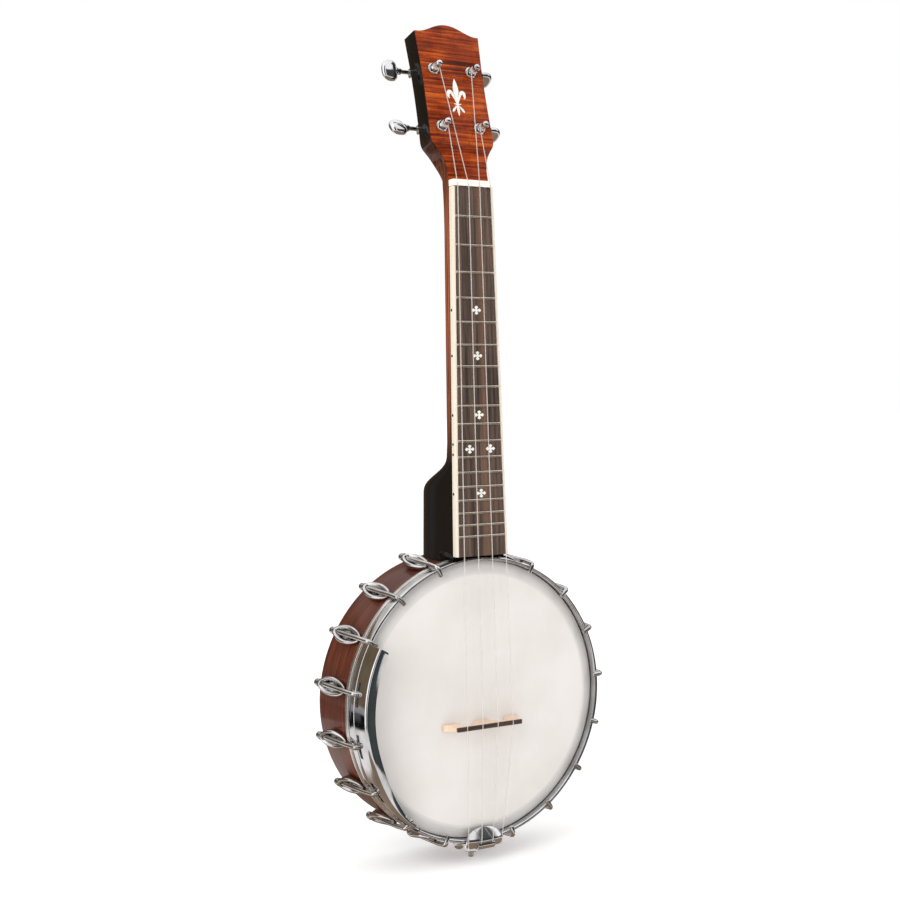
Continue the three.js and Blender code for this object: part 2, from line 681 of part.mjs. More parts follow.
// Strings run from the tailpiece over the bridge and the nut to their posts, in that order of corners.
function string(index) {
  const order = index - 1.5;
  const [postX, postZ] = [[-POST_X, POST_HEIGHTS[0]], [-POST_X, POST_HEIGHTS[1]],
    [POST_X, POST_HEIGHTS[1]], [POST_X, POST_HEIGHTS[0]]][index];
  const inner = -Math.sign(postX) * (POST_RADIUS + STRING_RADIUS + GAP);
  const tailX = order * STRING_SPACING_TAIL;
  const top = BRIDGE_FOOT_Y - BRIDGE_HEIGHT - GAP - STRING_RADIUS;
  const corners = [
    new THREE.Vector3(tailX, -5.4, -107.6),
    new THREE.Vector3(tailX, -10.4, -102.6),
    new THREE.Vector3(order * STRING_SPACING_BRIDGE, top, BRIDGE_Z),
    onBoard(order * STRING_SPACING_NUT, -1.4 - GAP - STRING_RADIUS, NUT_Z + 0.4),
    onFace(postX + inner, -4.4, postZ),
  ];
  return loft(corners.map((corner, i) => {
    const before = corners[Math.max(i - 1, 0)];
    const after = corners[Math.min(i + 1, corners.length - 1)];
    return circleAcross(corner, after.clone().sub(before), STRING_RADIUS, 6);
  }));
}

// ---------- assembly ----------

const banjo = new THREE.Group();
const add = (name, body, look) => banjo.add(node(name, body, look()));

add('rim', rim(), finish.wood);
add('tone_ring', toneRing(), finish.brass);
add('drum_head', head(), finish.film);
add('flesh_hoop', fleshHoop(), finish.aluminium);
add('tension_hoop', tensionHoop(), finish.chrome);
add('coordinator_rod', coordinatorRod(), finish.chrome);
add('armrest', armrest(), finish.chrome);
add('tailpiece', tailpiece(), finish.chrome);
add('bridge', bridge(), finish.maple);
add('neck', neck(), finish.darkWood);
add('fingerboard', fingerboard(), finish.board);
add('string_nut', nut(), finish.bone);

const plainShoe = shoe();
hookAngles.forEach((degrees, i) => {
  const label = String(i + 1).padStart(2, '0');
  const lift = underArmrest(degrees) ? ARMREST_PLATE + GAP : 0;
  add(`bracket_shoe_${label}`, plainShoe.rotate([0, degrees, 0]), finish.chrome);
  add(`bracket_hook_${label}`, hook(lift).rotate([0, degrees, 0]), finish.chrome);
});

postPlaces().forEach(([x, z], i) => {
  add(`tuner_plate_${i + 1}`, tunerPlate(x, z), finish.chrome);
  add(`string_post_${i + 1}`, stringPost(x, z), finish.chrome);
  add(`tuner_button_${i + 1}`, tunerButton(x, z, BUTTON_TURNS[i]), finish.chrome);
});

for (let i = 0; i < 4; i += 1) {
  add(`string_${i + 1}`, string(i), finish.nylon);
}

// The origin is the middle of the footprint, at the lowest point.
const box = new THREE.Box3().setFromObject(banjo);
const middle = box.getCenter(new THREE.Vector3());
banjo.position.set(-middle.x, -middle.y, -box.min.z);

const assembly = new THREE.Group();
assembly.add(banjo);

export default assembly;
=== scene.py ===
import math

import bmesh
import bpy
from mathutils import Matrix, Vector


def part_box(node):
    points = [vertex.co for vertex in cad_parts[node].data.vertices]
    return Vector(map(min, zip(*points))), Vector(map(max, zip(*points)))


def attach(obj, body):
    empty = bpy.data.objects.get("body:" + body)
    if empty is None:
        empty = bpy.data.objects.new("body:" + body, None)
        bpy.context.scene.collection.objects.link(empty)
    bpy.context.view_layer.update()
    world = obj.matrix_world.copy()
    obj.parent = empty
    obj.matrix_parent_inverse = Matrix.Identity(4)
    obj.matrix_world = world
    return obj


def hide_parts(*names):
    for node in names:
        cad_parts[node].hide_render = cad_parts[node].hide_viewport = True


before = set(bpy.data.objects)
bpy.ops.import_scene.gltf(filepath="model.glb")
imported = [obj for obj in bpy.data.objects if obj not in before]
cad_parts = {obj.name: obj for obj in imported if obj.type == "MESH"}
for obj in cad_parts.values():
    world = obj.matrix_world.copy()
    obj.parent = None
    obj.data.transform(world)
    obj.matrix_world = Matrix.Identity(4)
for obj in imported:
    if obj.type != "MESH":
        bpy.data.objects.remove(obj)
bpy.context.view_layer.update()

# The looks of a four-string concert banjolele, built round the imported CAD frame.
# Shapes are in millimetres in the pot's frame (X right, Y back, Z up, origin on the pot's axis just
# behind the drum head's face), and each piece is placed in metres in the row's frame.

MM = 0.001
rim_low, rim_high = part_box("rim")
hoop_low, hoop_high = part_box("tension_hoop")
POT_X = (rim_low.x + rim_high.x) / 2
HOOP_FRONT = -3.2
POT_Y = hoop_low.y - HOOP_FRONT * MM
POT_Z = (rim_low.z + rim_high.z) / 2


def shift(x, y, z):
    return Matrix.Translation((x, y, z))


def turn(degrees, axis):
    return Matrix.Rotation(math.radians(degrees), 4, axis)


POT = shift(POT_X, POT_Y, POT_Z) @ Matrix.Scale(MM, 4)

# Clearance between neighbouring pieces
GAP = 0.3

# Driving sizes of the neck
SCALE_LENGTH = 381
NUT_Z = 363.6
NUT_LENGTH = 4.4
BOARD_BOTTOM_Z = 103.4
BOARD_THICKNESS = 5.7
BOARD_FRONT_Y = -10.2
HALF_AT_NUT = 16.5
HALF_AT_BOTTOM = 21.3
NECK_PITCH = 2.07
NECK_DEPTH = 17.2
HEEL_BACK_Y = 53
HEEL_TOP_Z = 184
HEEL_RUN = 36
HEADSTOCK_PITCH = 12.9
HEADSTOCK_THICKNESS = 15
HEADSTOCK_DROP = 5
BINDING = 1.7
NECK_TOP = BOARD_THICKNESS + GAP
FRETS = 18
POST_X = 15.5
POST_HEIGHTS = (42.4, 86)
POST_HOLE = 3.3

# Driving sizes of the pot
RIM_OUTER = (rim_high.x - rim_low.x) / 2 / MM
RIM_INNER = RIM_OUTER - 14
RIM_FRONT = (rim_low.y - POT_Y) / MM
RIM_BACK = (rim_high.y - POT_Y) / MM
HOOP_OUTER = (hoop_high.x - hoop_low.x) / 2 / MM
HOOP_INNER = HOOP_OUTER - 2.4
HOOP_BACK = 5.2
FLESH_OUTER = 102.4
FLESH_BACK = 9.6
HEAD_Y = -0.6
FILM = 0.3
STUD_Y = 30
ROD_HALF = 84
STUD_HOLE = 3.3
TONE_RADIUS = 90.5
TONE_ROD = 3.05

# Brackets
HOOKS_PER_SIDE = 8
FIRST_HOOK = 22.4
HOOK_PITCH = 20.25
BRACKET_TURN = 2
HOOK_ROD = 1.7
HOOK_TIP = 96.2
HOOK_OUT = 104
HOOK_BEND = 2.4
SHOE_Y = 25.3

# Armrest
ARMREST_TOP = -62
ARMREST_TIP = -147
ARMREST_RISE = 16.9
ARMREST_REACH = 8
ARMREST_TIP_RISE = 5
ARMREST_TIP_REACH = 3.4
ARMREST_BEND = 2.4
ARMREST_DROP = 1.4
ARMREST_PLATE = 1

# Bridge, strings and tailpiece
BRIDGE_Z = NUT_Z - SCALE_LENGTH
BRIDGE_HEIGHT = 14
STRING_RADIUS = 0.38
TAILPIECE_HALF = 15.5
TAIL_SCREW_Y = 13
TAIL_CREST = 0.42
TAIL_WALL = 0.9

BOARD = POT @ shift(0, BOARD_FRONT_Y, 0) @ turn(-NECK_PITCH, "X")
FACE_START = NUT_Z + NUT_LENGTH * 0.6
FACE_IN_BOARD = shift(0, HEADSTOCK_DROP, FACE_START) @ turn(-HEADSTOCK_PITCH, "X")
FACE = BOARD @ FACE_IN_BOARD

# ---------- shapes: lists of points and faces ----------


def skin(rings, loop=False, closed=True, caps=True):
    """Faces between rings of equally many points; loop joins the last ring to the first."""
    count = len(rings[0])
    points = [p for ring in rings for p in ring]
    faces = []
    for i in range(len(rings) if loop else len(rings) - 1):
        after = (i + 1) % len(rings)
        for j in range(count if closed else count - 1):
            k = (j + 1) % count
            faces.append((i * count + j, i * count + k, after * count + k, after * count + j))
    if caps and not loop:
        faces.append(tuple(reversed(range(count))))
        faces.append(tuple(range(len(points) - count, len(points))))
    return points, faces


def merged(*shapes):
    points, faces = [], []
    for more, polygons in shapes:
        start = len(points)
        points.extend(more)
        faces.extend(tuple(start + i for i in polygon) for polygon in polygons)
    return points, faces


def moved(shape, matrix):
    return [matrix @ Vector(p) for p in shape[0]], shape[1]


def arc(centre, radius, start, end, steps):
    """Points on a circle in a plane, from one angle in degrees to another."""
    angles = [math.radians(start + (end - start) * i / steps) for i in range(steps + 1)]
    return [(centre[0] + radius * math.cos(a), centre[1] + radius * math.sin(a)) for a in angles]


def spokes(sides):
    """Cosine and sine at equal steps round a circle."""
    angles = [2 * math.pi * i / sides for i in range(sides)]
    return [(math.cos(a), math.sin(a)) for a in angles]


def heading(line, i):
    """The direction of a line at one of its points."""
    return (line[min(i + 1, len(line) - 1)] - line[max(i - 1, 0)]).normalized()


def swung(profile, angle):
    """Radius/depth corners at an angle in radians round the Y axis, from straight up."""
    return [(r * math.sin(angle), y, r * math.cos(angle)) for r, y in profile]


def lathe(profile, segments=180, closed=False):
    """Radius/depth corners turned about the Y axis."""
    rings = [swung(profile, 2 * math.pi * i / segments) for i in range(segments)]
    return skin(rings, loop=True, closed=closed)


def spindle(profile, start, end, sides=24):
    """Radius/distance corners turned about the line from start towards end."""
    start, direction = Vector(start), (Vector(end) - Vector(start)).normalized()
    across = direction.orthogonal().normalized()
    up = direction.cross(across)
    rings = []
    for c, s in spokes(sides):
        spoke = across * c + up * s
        rings.append([start + direction * along + spoke * r for r, along in profile])
    return skin(rings, loop=True, closed=False)


def tube(points, radius, sides=12):
    """A round bar along points; radius is one number or one for each point."""
    points = [Vector(p) for p in points]
    radii = radius if isinstance(radius, (list, tuple)) else [radius] * len(points)
    across = (points[1] - points[0]).orthogonal().normalized()
    rings = []
    for i, point in enumerate(points):
        along = heading(points, i)
        across = (across - along * across.dot(along)).normalized()
        up = along.cross(across)
        rings.append([point + (across * c + up * s) * radii[i] for c, s in spokes(sides)])
    return skin(rings)


def prism(outline, near, far):
    """An outline of x/z corners given thickness along Y."""
    return skin([[(x, near, z) for x, z in outline], [(x, far, z) for x, z in outline]])


def block(width, depth, height, centre=(0, 0, 0)):
    x, y, z = width / 2, depth / 2, height / 2
    shape = prism([(-x, -z), (x, -z), (x, z), (-x, z)], -y, y)
    return moved(shape, shift(*centre))


def smooth_path(corners, steps=8):
    """A smooth line through corners."""
    corners = [Vector(c) for c in corners]
    ends = [2 * corners[0] - corners[1], *corners, 2 * corners[-1] - corners[-2]]
    points = []
    for a, b, c, d in zip(ends, ends[1:], ends[2:], ends[3:]):
        for i in range(steps):
            t = i / steps
            bend = (2 * a - 5 * b + 4 * c - d) * t * t + (3 * b - a - 3 * c + d) * t * t * t
            points.append((2 * b + (c - a) * t + bend) / 2)
    return points + [corners[-1]]


def smoothstep(low, high, value):
    share = min(max((value - low) / (high - low), 0), 1)
    return share * share * (3 - 2 * share)


# ---------- objects ----------

BEVELLED_FROM = math.radians(32)


def modify(obj, kind, **settings):
    """Gives an object a modifier and applies it at once."""
    modifier = obj.modifiers.new(kind.lower(), kind)
    for key, value in settings.items():
        setattr(modifier, key, value)
    graph = bpy.context.evaluated_depsgraph_get()
    mesh = bpy.data.meshes.new_from_object(obj.evaluated_get(graph))
    obj.modifiers.clear()
    obj.data = mesh


def link(name, data):
    obj = bpy.data.objects.new(name, data)
    bpy.context.scene.collection.objects.link(obj)
    return obj


def raw_object(name, shape, matrix):
    mesh = bpy.data.meshes.new(name)
    mesh.from_pydata([matrix @ Vector(p) for p in shape[0]], [], shape[1])
    build = bmesh.new()
    build.from_mesh(mesh)
    bmesh.ops.remove_doubles(build, verts=build.verts, dist=1e-7)
    bmesh.ops.recalc_face_normals(build, faces=build.faces)
    build.to_mesh(mesh)
    build.free()
    return link(name, mesh)


def make(name, shape, look, at=POT, body="root", stands_for=(), slot=None, bevel=0, sharp=35, cuts=()):
    """One finished piece: cut, rounded, smoothed, painted and riding on its body."""
    obj = raw_object(name, shape, at)
    for number, cut in enumerate(cuts):
        cutter = raw_object(f"{name}_cutter_{number}", cut, at)
        modify(obj, "BOOLEAN", object=cutter, operation="DIFFERENCE", solver="EXACT")
        bpy.data.objects.remove(cutter)
    if bevel:
        modify(obj, "BEVEL", width=bevel * MM, segments=3, limit_method="ANGLE", angle_limit=BEVELLED_FROM)
    obj.data.polygons.foreach_set("use_smooth", [True] * len(obj.data.polygons))
    obj.data.set_sharp_from_angle(angle=math.radians(sharp))
    obj.data.materials.clear()
    obj.data.materials.append(look)
    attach(obj, body)
    if stands_for:
        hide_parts(*stands_for)
    return obj


def plated(name, shape, look=None, **rest):
    """A chromed piece."""
    return make(name, shape, look or chrome, slot="chrome", **rest)


# ---------- materials ----------


def srgb(red, green, blue):
    """A colour as seen on a screen, 0 to 255, in the shader's own linear numbers."""
    def linear(value):
        value /= 255
        return value / 12.92 if value <= 0.04045 else ((value + 0.055) / 1.055) ** 2.4
    return (linear(red), linear(green), linear(blue), 1)


def add_node(tree, kind, inputs=(), output=0, **settings):
    """A node with its settings and inputs, which are values or other nodes' outputs; returns an output."""
    node = tree.nodes.new(kind)
    for key, value in settings.items():
        setattr(node, key, value)
    for key, value in dict(inputs).items():
        if isinstance(value, bpy.types.NodeSocket):
            tree.links.new(value, node.inputs[key])
        else:
            node.inputs[key].default_value = value
    return node.outputs[output]


class Look:
    """A procedural material round one Principled shader."""

    def __init__(self, name, **sockets):
        self.material = bpy.data.materials.new(name)
        self.material.use_nodes = True
        self.tree = self.material.node_tree
        self.shader = self.tree.nodes["Principled BSDF"]
        for socket, value in sockets.items():
            self.shader.inputs[socket.replace("_", " ")].default_value = value

    def add(self, kind, inputs=(), output=0, **settings):
        return add_node(self.tree, kind, inputs, output, **settings)

    def place(self, stretch=(1, 1, 1), warp=None):
        """Millimetres in the pot's frame, scaled by stretch."""
        spot = self.add("ShaderNodeTexCoord", output=3)
        scale = [s / MM for s in stretch]
        origin = [-at / MM * s for at, s in zip((POT_X, POT_Y, POT_Z), stretch)]
        spot = self.add("ShaderNodeMapping", {"Vector": spot, "Scale": scale, "Location": origin})
        if warp is None:
            return spot
        return self.add("ShaderNodeVectorMath", {0: spot, 1: warp}, operation="ADD")

    def round_place(self, around, along, outward):
        """Angle, depth and radius about the pot's axis, each scaled."""
        x, y, z = self.apart(self.place())
        angle = self.math("ARCTAN2", x, z)
        radius = self.math("SQRT", self.blend((x, x), (z, z)))
        scaled = ((angle, around), (y, along), (radius, outward))
        parts = {axis: self.blend(pair) for axis, pair in enumerate(scaled)}
        return self.add("ShaderNodeCombineXYZ", parts), radius

    def apart(self, vector):
        node = self.add("ShaderNodeSeparateXYZ", {"Vector": vector}).node
        return node.outputs[0], node.outputs[1], node.outputs[2]

    def math(self, operation, a, b=0.0):
        return self.add("ShaderNodeMath", {0: a, 1: b}, operation=operation)

    def noise(self, vector, scale=1, detail=3, rough=0.5, twist=0):
        inputs = {"Vector": vector, "Scale": scale, "Detail": detail, "Roughness": rough, "Distortion": twist}
        return self.add("ShaderNodeTexNoise", inputs)

    def grain(self, stretch=(1, 1, 1), **settings):
        """Noise drawn out along the axes with the small numbers."""
        return self.noise(self.place(stretch), **settings)

    def blend(self, *parts):
        """The sum of values, each given with its weight."""
        total = None
        for value, weight in parts:
            value = self.math("MULTIPLY", value, weight)
            total = value if total is None else self.math("ADD", total, value)
        return total

    def ramp(self, value, *stops):
        """A colour or grey scale by stops of (place, colour or number)."""
        node = self.add("ShaderNodeValToRGB", {"Fac": value}).node
        band = node.color_ramp.elements
        while len(band) < len(stops):
            band.new(0.5)
        for element, (spot, color) in zip(band, stops):
            element.position = spot
            element.color = color if isinstance(color, tuple) else (color, color, color, 1)
        return node.outputs[0]

    def mix(self, share, a, b):
        return self.add("ShaderNodeMix", {0: share, 6: a, 7: b}, output=2, data_type="RGBA")

    def paint(self, color, rough=None, bump=None, depth=0.05):
        """Joins colour, roughness and height to the shader; depth is the bump's height in millimetres."""
        self.tree.links.new(color, self.shader.inputs["Base Color"])
        if rough is not None:
            self.tree.links.new(rough, self.shader.inputs["Roughness"])
        if bump is not None:
            normal = self.add("ShaderNodeBump", {"Height": bump, "Distance": depth * MM, "Strength": 1})
            self.tree.links.new(normal, self.shader.inputs["Normal"])
        return self.material


def metal_look(name, bright, dull, smooth, rough, ripple=0.004):
    """Plated or drawn metal: faint cloudiness, fine scuffs and a ripple too small to see by itself."""
    look = Look(name, Metallic=1)
    spot = look.place()
    cloud = look.noise(spot, scale=0.09, detail=4)
    scuff = look.grain((0.4, 2.2, 0.4), detail=5, rough=0.7)
    color = look.mix(look.ramp(cloud, (0.35, 0.0), (0.7, 1.0)), bright, dull)
    polish = look.blend((cloud, 0.4), (scuff, 0.6))
    roughness = look.ramp(polish, (0.35, smooth), (0.75, rough))
    ripples = look.noise(spot, scale=0.35, detail=2)
    return look.paint(color, roughness, ripples, depth=ripple)


chrome = metal_look("chrome_plate", srgb(232, 232, 235), srgb(205, 204, 206), 0.03, 0.12)
bracket_chrome = metal_look("bracket_chrome", srgb(222, 221, 222), srgb(176, 172, 170), 0.05, 0.2, 0.01)
steel = metal_look("steel_hardware", srgb(190, 188, 186), srgb(150, 146, 142), 0.18, 0.38, 0.01)
bright_ring = metal_look("drawn_aluminium", srgb(235, 232, 228), srgb(208, 204, 198), 0.22, 0.38)
brass = metal_look("brass_rod", srgb(214, 176, 104), srgb(150, 112, 58), 0.18, 0.4, 0.01)
fret_metal = metal_look("fret_metal", srgb(226, 216, 202), srgb(196, 184, 168), 0.2, 0.34, 0.004)


def rim_wood_look():
    """Red-brown wood with its grain round the rim, under a thin clear coat."""
    look = Look("rim_wood", Coat_Weight=0.3, Coat_Roughness=0.05, Specular_IOR_Level=0.15)
    figure = look.round_place(around=3, along=0.5, outward=0.5)[0]
    broad = look.noise(figure, detail=5, rough=0.55, twist=0.4)
    fine = look.noise(figure, scale=6, detail=4, rough=0.6)
    grain = look.blend((broad, 0.7), (fine, 0.3))
    color = look.ramp(grain, (0.34, srgb(58, 23, 13)), (0.5, srgb(86, 38, 22)), (0.66, srgb(110, 54, 33)))
    return look.paint(color, look.ramp(fine, (0.3, 0.36), (0.7, 0.48)), fine, depth=0.015)


rim_wood = rim_wood_look()


def black_lacquer_look():
    """Black lacquer that thins to red-brown wood along the middle of the neck."""
    look = Look("neck_lacquer", Coat_Weight=0.6, Coat_Roughness=0.05, Specular_IOR_Level=0.05)
    grain = look.grain((0.6, 0.6, 0.02), detail=5, twist=0.3)
    wood = look.ramp(grain, (0.35, srgb(88, 40, 24)), (0.5, srgb(136, 72, 46)), (0.65, srgb(160, 92, 62)))
    height = look.math("MULTIPLY", look.apart(look.place())[2], 0.001)
    lower = look.ramp(height, (0.168, 1.0), (0.215, 0.0))
    upper = look.ramp(height, (0.335, 0.0), (0.365, 0.5), (0.4, 1.0))
    black = look.math("MAXIMUM", lower, upper)
    soot = look.mix(look.ramp(grain, (0.3, 0.0), (0.7, 1.0)), srgb(6, 5, 4), srgb(11, 8, 7))
    throat = look.ramp(height, (0.25, 0.0), (0.33, 1.0), (0.36, 1.0), (0.41, 0.0))
    soot = look.mix(throat, soot, srgb(26, 11, 8))
    color = look.mix(black, wood, soot)
    orange_peel = look.grain(scale=0.25, detail=2)
    roughness = look.ramp(grain, (0.3, 0.34), (0.7, 0.42))
    return look.paint(color, roughness, orange_peel, depth=0.002)


neck_lacquer = black_lacquer_look()


def veneer_look():
    """Flamed veneer: dark and bright bands across the headstock, broken up along them."""
    look = Look("flamed_veneer", Coat_Weight=0.12, Coat_Roughness=0.1, Specular_IOR_Level=0.1)
    waves = look.grain((0.06, 0.02, 0.05), detail=2)
    bands = look.grain((0.018, 0.02, 0.5), detail=4, rough=0.6, twist=0.1)
    threads = look.grain((0.06, 0.05, 1.9), twist=0.1)
    pores = look.grain((1.6, 1.2, 0.1))
    flame = look.blend((bands, 0.55), (threads, 0.25), (waves, 0.2))
    color = look.ramp(flame, (0.37, srgb(56, 13, 2)), (0.45, srgb(104, 33, 5)),
                      (0.53, srgb(148, 56, 12)), (0.63, srgb(196, 92, 27)))
    color = look.mix(look.ramp(pores, (0.34, 0.4), (0.46, 0.0)), color, srgb(62, 20, 6))
    roughness = look.ramp(bands, (0.3, 0.36), (0.7, 0.48))
    return look.paint(color, roughness, threads, depth=0.008)


veneer = veneer_look()


def rosewood_look():
    """Dark brown board with streaks along it and one paler stripe right of the middle."""
    look = Look("rosewood_board", Specular_IOR_Level=0.35)
    streaks = look.grain((0.42, 0.3, 0.006), detail=4, rough=0.6)
    pores = look.grain((2.6, 2.6, 0.12), rough=0.6)
    base = look.ramp(streaks, (0.32, srgb(52, 40, 34)), (0.48, srgb(80, 65, 56)), (0.56, srgb(94, 76, 65)),
                     (0.7, srgb(118, 86, 66)))
    across = look.apart(look.place(warp=look.mix(0.985, streaks, (0, 0, 0, 1))))[0]
    centre = look.math("SUBTRACT", look.math("MULTIPLY", across, 0.1), 0.42)
    stripe = look.ramp(look.math("ABSOLUTE", centre), (0.06, 1.0), (0.34, 0.0))
    base = look.mix(look.math("MULTIPLY", stripe, 0.5), base, srgb(132, 92, 70))
    color = look.mix(look.ramp(pores, (0.32, 0.4), (0.42, 0.0)), base, srgb(30, 22, 18))
    roughness = look.ramp(pores, (0.3, 0.62), (0.6, 0.44))
    return look.paint(color, roughness, pores, depth=0.05)


rosewood = rosewood_look()


def film_look():
    """Frosted polyester, slightly cloudy, glossier where it slopes down over the rim; there its colour is
    greyer, a painted shade of the rim seen through the film.
    """
    look = Look("frosted_film", Roughness=0.38, Specular_IOR_Level=0.35)
    radius = look.round_place(around=4, along=0.02, outward=0.02)[1]
    cloud = look.grain(scale=0.02)
    face = look.ramp(cloud, (0.35, srgb(214, 209, 204)), (0.65, srgb(221, 217, 213)))
    share = look.math("MULTIPLY", radius, 0.01)
    edge = look.ramp(share, (0.888, 0.0), (0.903, 0.75), (0.95, 1.0))
    # Painted shade: from about 89 mm out the colour turns grey, standing for the rim's shade seen through the
    # film
    color = look.mix(edge, face, srgb(200, 197, 194))
    frost = look.grain(scale=2.2, detail=4, rough=0.7)
    roughness = look.ramp(frost, (0.3, 0.34), (0.7, 0.46))
    roughness = look.mix(edge, roughness, (0.16, 0.16, 0.16, 1))
    return look.paint(color, roughness, frost, depth=0.004)


film = film_look()


def plain_look(name, base, shade, rough, scale=0.3, stretch=(1, 1, 1), depth=0.01, **sockets):
    """A near-plain material with soft mottling and a fine surface."""
    look = Look(name, **sockets)
    mottle = look.grain(stretch, scale=scale, detail=4, rough=0.6)
    color = look.ramp(mottle, (0.33, shade), (0.62, base))
    roughness = look.ramp(mottle, (0.3, rough + 0.1), (0.7, rough))
    return look.paint(color, roughness, mottle, depth=depth)


ivoroid = plain_look("ivoroid_binding", srgb(232, 222, 205), srgb(220, 208, 188), 0.32, 1, (1.2, 1.2, 0.03),
                     Coat_Weight=0.3)
bone = plain_look("bone_nut", srgb(250, 244, 234), srgb(240, 231, 216), 0.4, 0.8)
maple = plain_look("bridge_maple", srgb(244, 222, 200), srgb(226, 194, 166), 0.5, 1, (0.08, 1.2, 1.2), 0.02)
ebony = plain_look("ebony", srgb(80, 58, 50), srgb(48, 34, 29), 0.4, 1, (0.08, 1.2, 1.2), 0.02)
dot_black = plain_look("dot_black", srgb(24, 20, 18), srgb(12, 10, 9), 0.35, 1.5, depth=0.004)
pearl = plain_look("pearl", srgb(244, 240, 232), srgb(214, 218, 212), 0.22, 0.35, depth=0.003,
                   Coat_Weight=0.5)
nylon = plain_look("string_nylon", srgb(224, 217, 211), srgb(216, 209, 203), 0.45, 0.02, depth=0.0002,
                   Alpha=0.42, Specular_IOR_Level=0.2)

# ---------- pot ----------


def edge_round(radius, depth, size, start):
    """A small rounded corner of a turned profile, inside the point (radius, depth)."""
    inward = {0: (-1, -1), 90: (1, -1), 180: (1, 1), 270: (-1, 1)}[start]
    centre = (radius + inward[0] * size, depth + inward[1] * size)
    return arc(centre, size, start, start + 90, 5)


def ring_profile(inner, outer, front, back, size):
    """A rounded rectangle between two radii and two depths."""
    corners = edge_round(outer, back, size, 0) + edge_round(inner, back, size, 90)
    return corners + edge_round(inner, front, size, 180) + edge_round(outer, front, size, 270)


def stud_cut(low, high):
    return tube([(0, STUD_Y, low), (0, STUD_Y, high)], STUD_HOLE, 24)


make("wood_rim", lathe(ring_profile(RIM_INNER, RIM_OUTER, RIM_FRONT, RIM_BACK, 0.9), closed=True),
     rim_wood, stands_for=["rim"], slot="rim_wood", cuts=[stud_cut(-110, -80), stud_cut(80, 110)])
make("tone_ring_rod",
     lathe(arc((TONE_RADIUS, HEAD_Y + FILM + GAP + TONE_ROD), TONE_ROD, 0, 345, 23), closed=True),
     brass, stands_for=["tone_ring"], slot="brass")


def film_profile():
    """Flat crown, a bend over the tone ring, the slope, and the collar down to the flesh hoop."""
    wall = HOOP_INNER - GAP
    seat = HOOP_BACK + GAP
    crown = TONE_ROD + 1
    bend = arc((TONE_RADIUS, HEAD_Y + crown), crown, -90, -66, 6)
    shoulder = arc((wall - 1.2, 3.2), 1.2, -64, 0, 5)
    front = [(0, HEAD_Y), (TONE_RADIUS - 12, HEAD_Y)] + bend + shoulder
    front += [(wall, seat), (RIM_OUTER, seat)]
    back = [(RIM_OUTER, seat + 0.4), (wall - 0.35, seat + 0.4)]
    back += [(r - 0.3, y + FILM) for r, y in reversed(shoulder)]
    back += [(r - 0.1, y + FILM) for r, y in reversed(bend)]
    return front + back + [(TONE_RADIUS - 12, HEAD_Y + FILM), (0, HEAD_Y + FILM)]


make("drum_film", lathe(film_profile(), 240), film, stands_for=["drum_head"], slot="film", sharp=50)
flesh_profile = ring_profile(RIM_OUTER + 0.35, FLESH_OUTER, HOOP_BACK + GAP, FLESH_BACK, 0.65)
make("flesh_hoop_band", lathe(flesh_profile, 240, closed=True), bright_ring, stands_for=["flesh_hoop"],
     slot="aluminium")


def hoop_profile():
    """Flat outer wall, a narrow crowned front and a chamfered inner edge."""
    crown = arc((HOOP_OUTER - 0.8, HOOP_FRONT + 0.8), 0.8, 0, -90, 5)
    crown += [(HOOP_OUTER - 1.3, HOOP_FRONT), (HOOP_INNER + 0.6, HOOP_FRONT + 0.12)]
    crown += [(HOOP_INNER + 0.15, HOOP_FRONT + 0.5), (HOOP_INNER, HOOP_FRONT + 1.1)]
    crown += edge_round(HOOP_INNER, HOOP_BACK, 0.3, 90)[::-1]
    return crown + edge_round(HOOP_OUTER, HOOP_BACK, 0.3, 0)[::-1]


plated("tension_hoop_band", lathe(hoop_profile(), 240, closed=True), stands_for=["tension_hoop"], sharp=60)


def along_rod(low, high, radius, sides=24):
    return tube([(0, STUD_Y, low), (0, STUD_Y, high)], radius, sides)


# Distances from the rod's lower end, with waists beside a thicker middle
half_rod = [(0, 0), (3.6, 0), (4.4, 1), (4.4, 14), (4.0, 16), (4.0, 78), (4.5, 80)]
rod_profile = half_rod + [(r, 2 * ROD_HALF - along) for r, along in half_rod[::-1]]
rod_bar = spindle(rod_profile, (0, STUD_Y, -ROD_HALF), (0, STUD_Y, ROD_HALF))
plated("coordinator_bar", rod_bar, steel, stands_for=["coordinator_rod"])
for side, label, stud_end in ((-1, "tail", 110), (1, "heel", 117)):
    for part, near, far, radius, sides, bevel in (
        ("washer", 83.9, 86.3, 6.6, 32, 0.4), ("nut", 77.5, 83.6, 5.6, 6, 0.5),
        ("stud", 84, stud_end, 2.9, 24, 0.4),
    ):
        low, high = sorted((side * near, side * far))
        make(f"rod_{part}_{label}", along_rod(low, high, radius, sides), steel, bevel=bevel)
make("end_nut", along_rod(-111.6, -106.6, 5, 6), chrome, bevel=0.5)
make("end_nut_dome", spindle([(0, 0), (4.2, 0), (4.2, 0.6)] + arc((0, 0.6), 4.1, 0, 90, 8),
                             (0, STUD_Y, -111.4), (0, STUD_Y, -116)), chrome)

# ---------- brackets ----------

hook_angles = [side * (FIRST_HOOK + i * HOOK_PITCH) + BRACKET_TURN
               for side in (-1, 1) for i in range(HOOKS_PER_SIDE)]


def under_armrest(degrees):
    """Whether a bracket's hook passes under the armrest."""
    return ARMREST_TIP < degrees < ARMREST_TOP


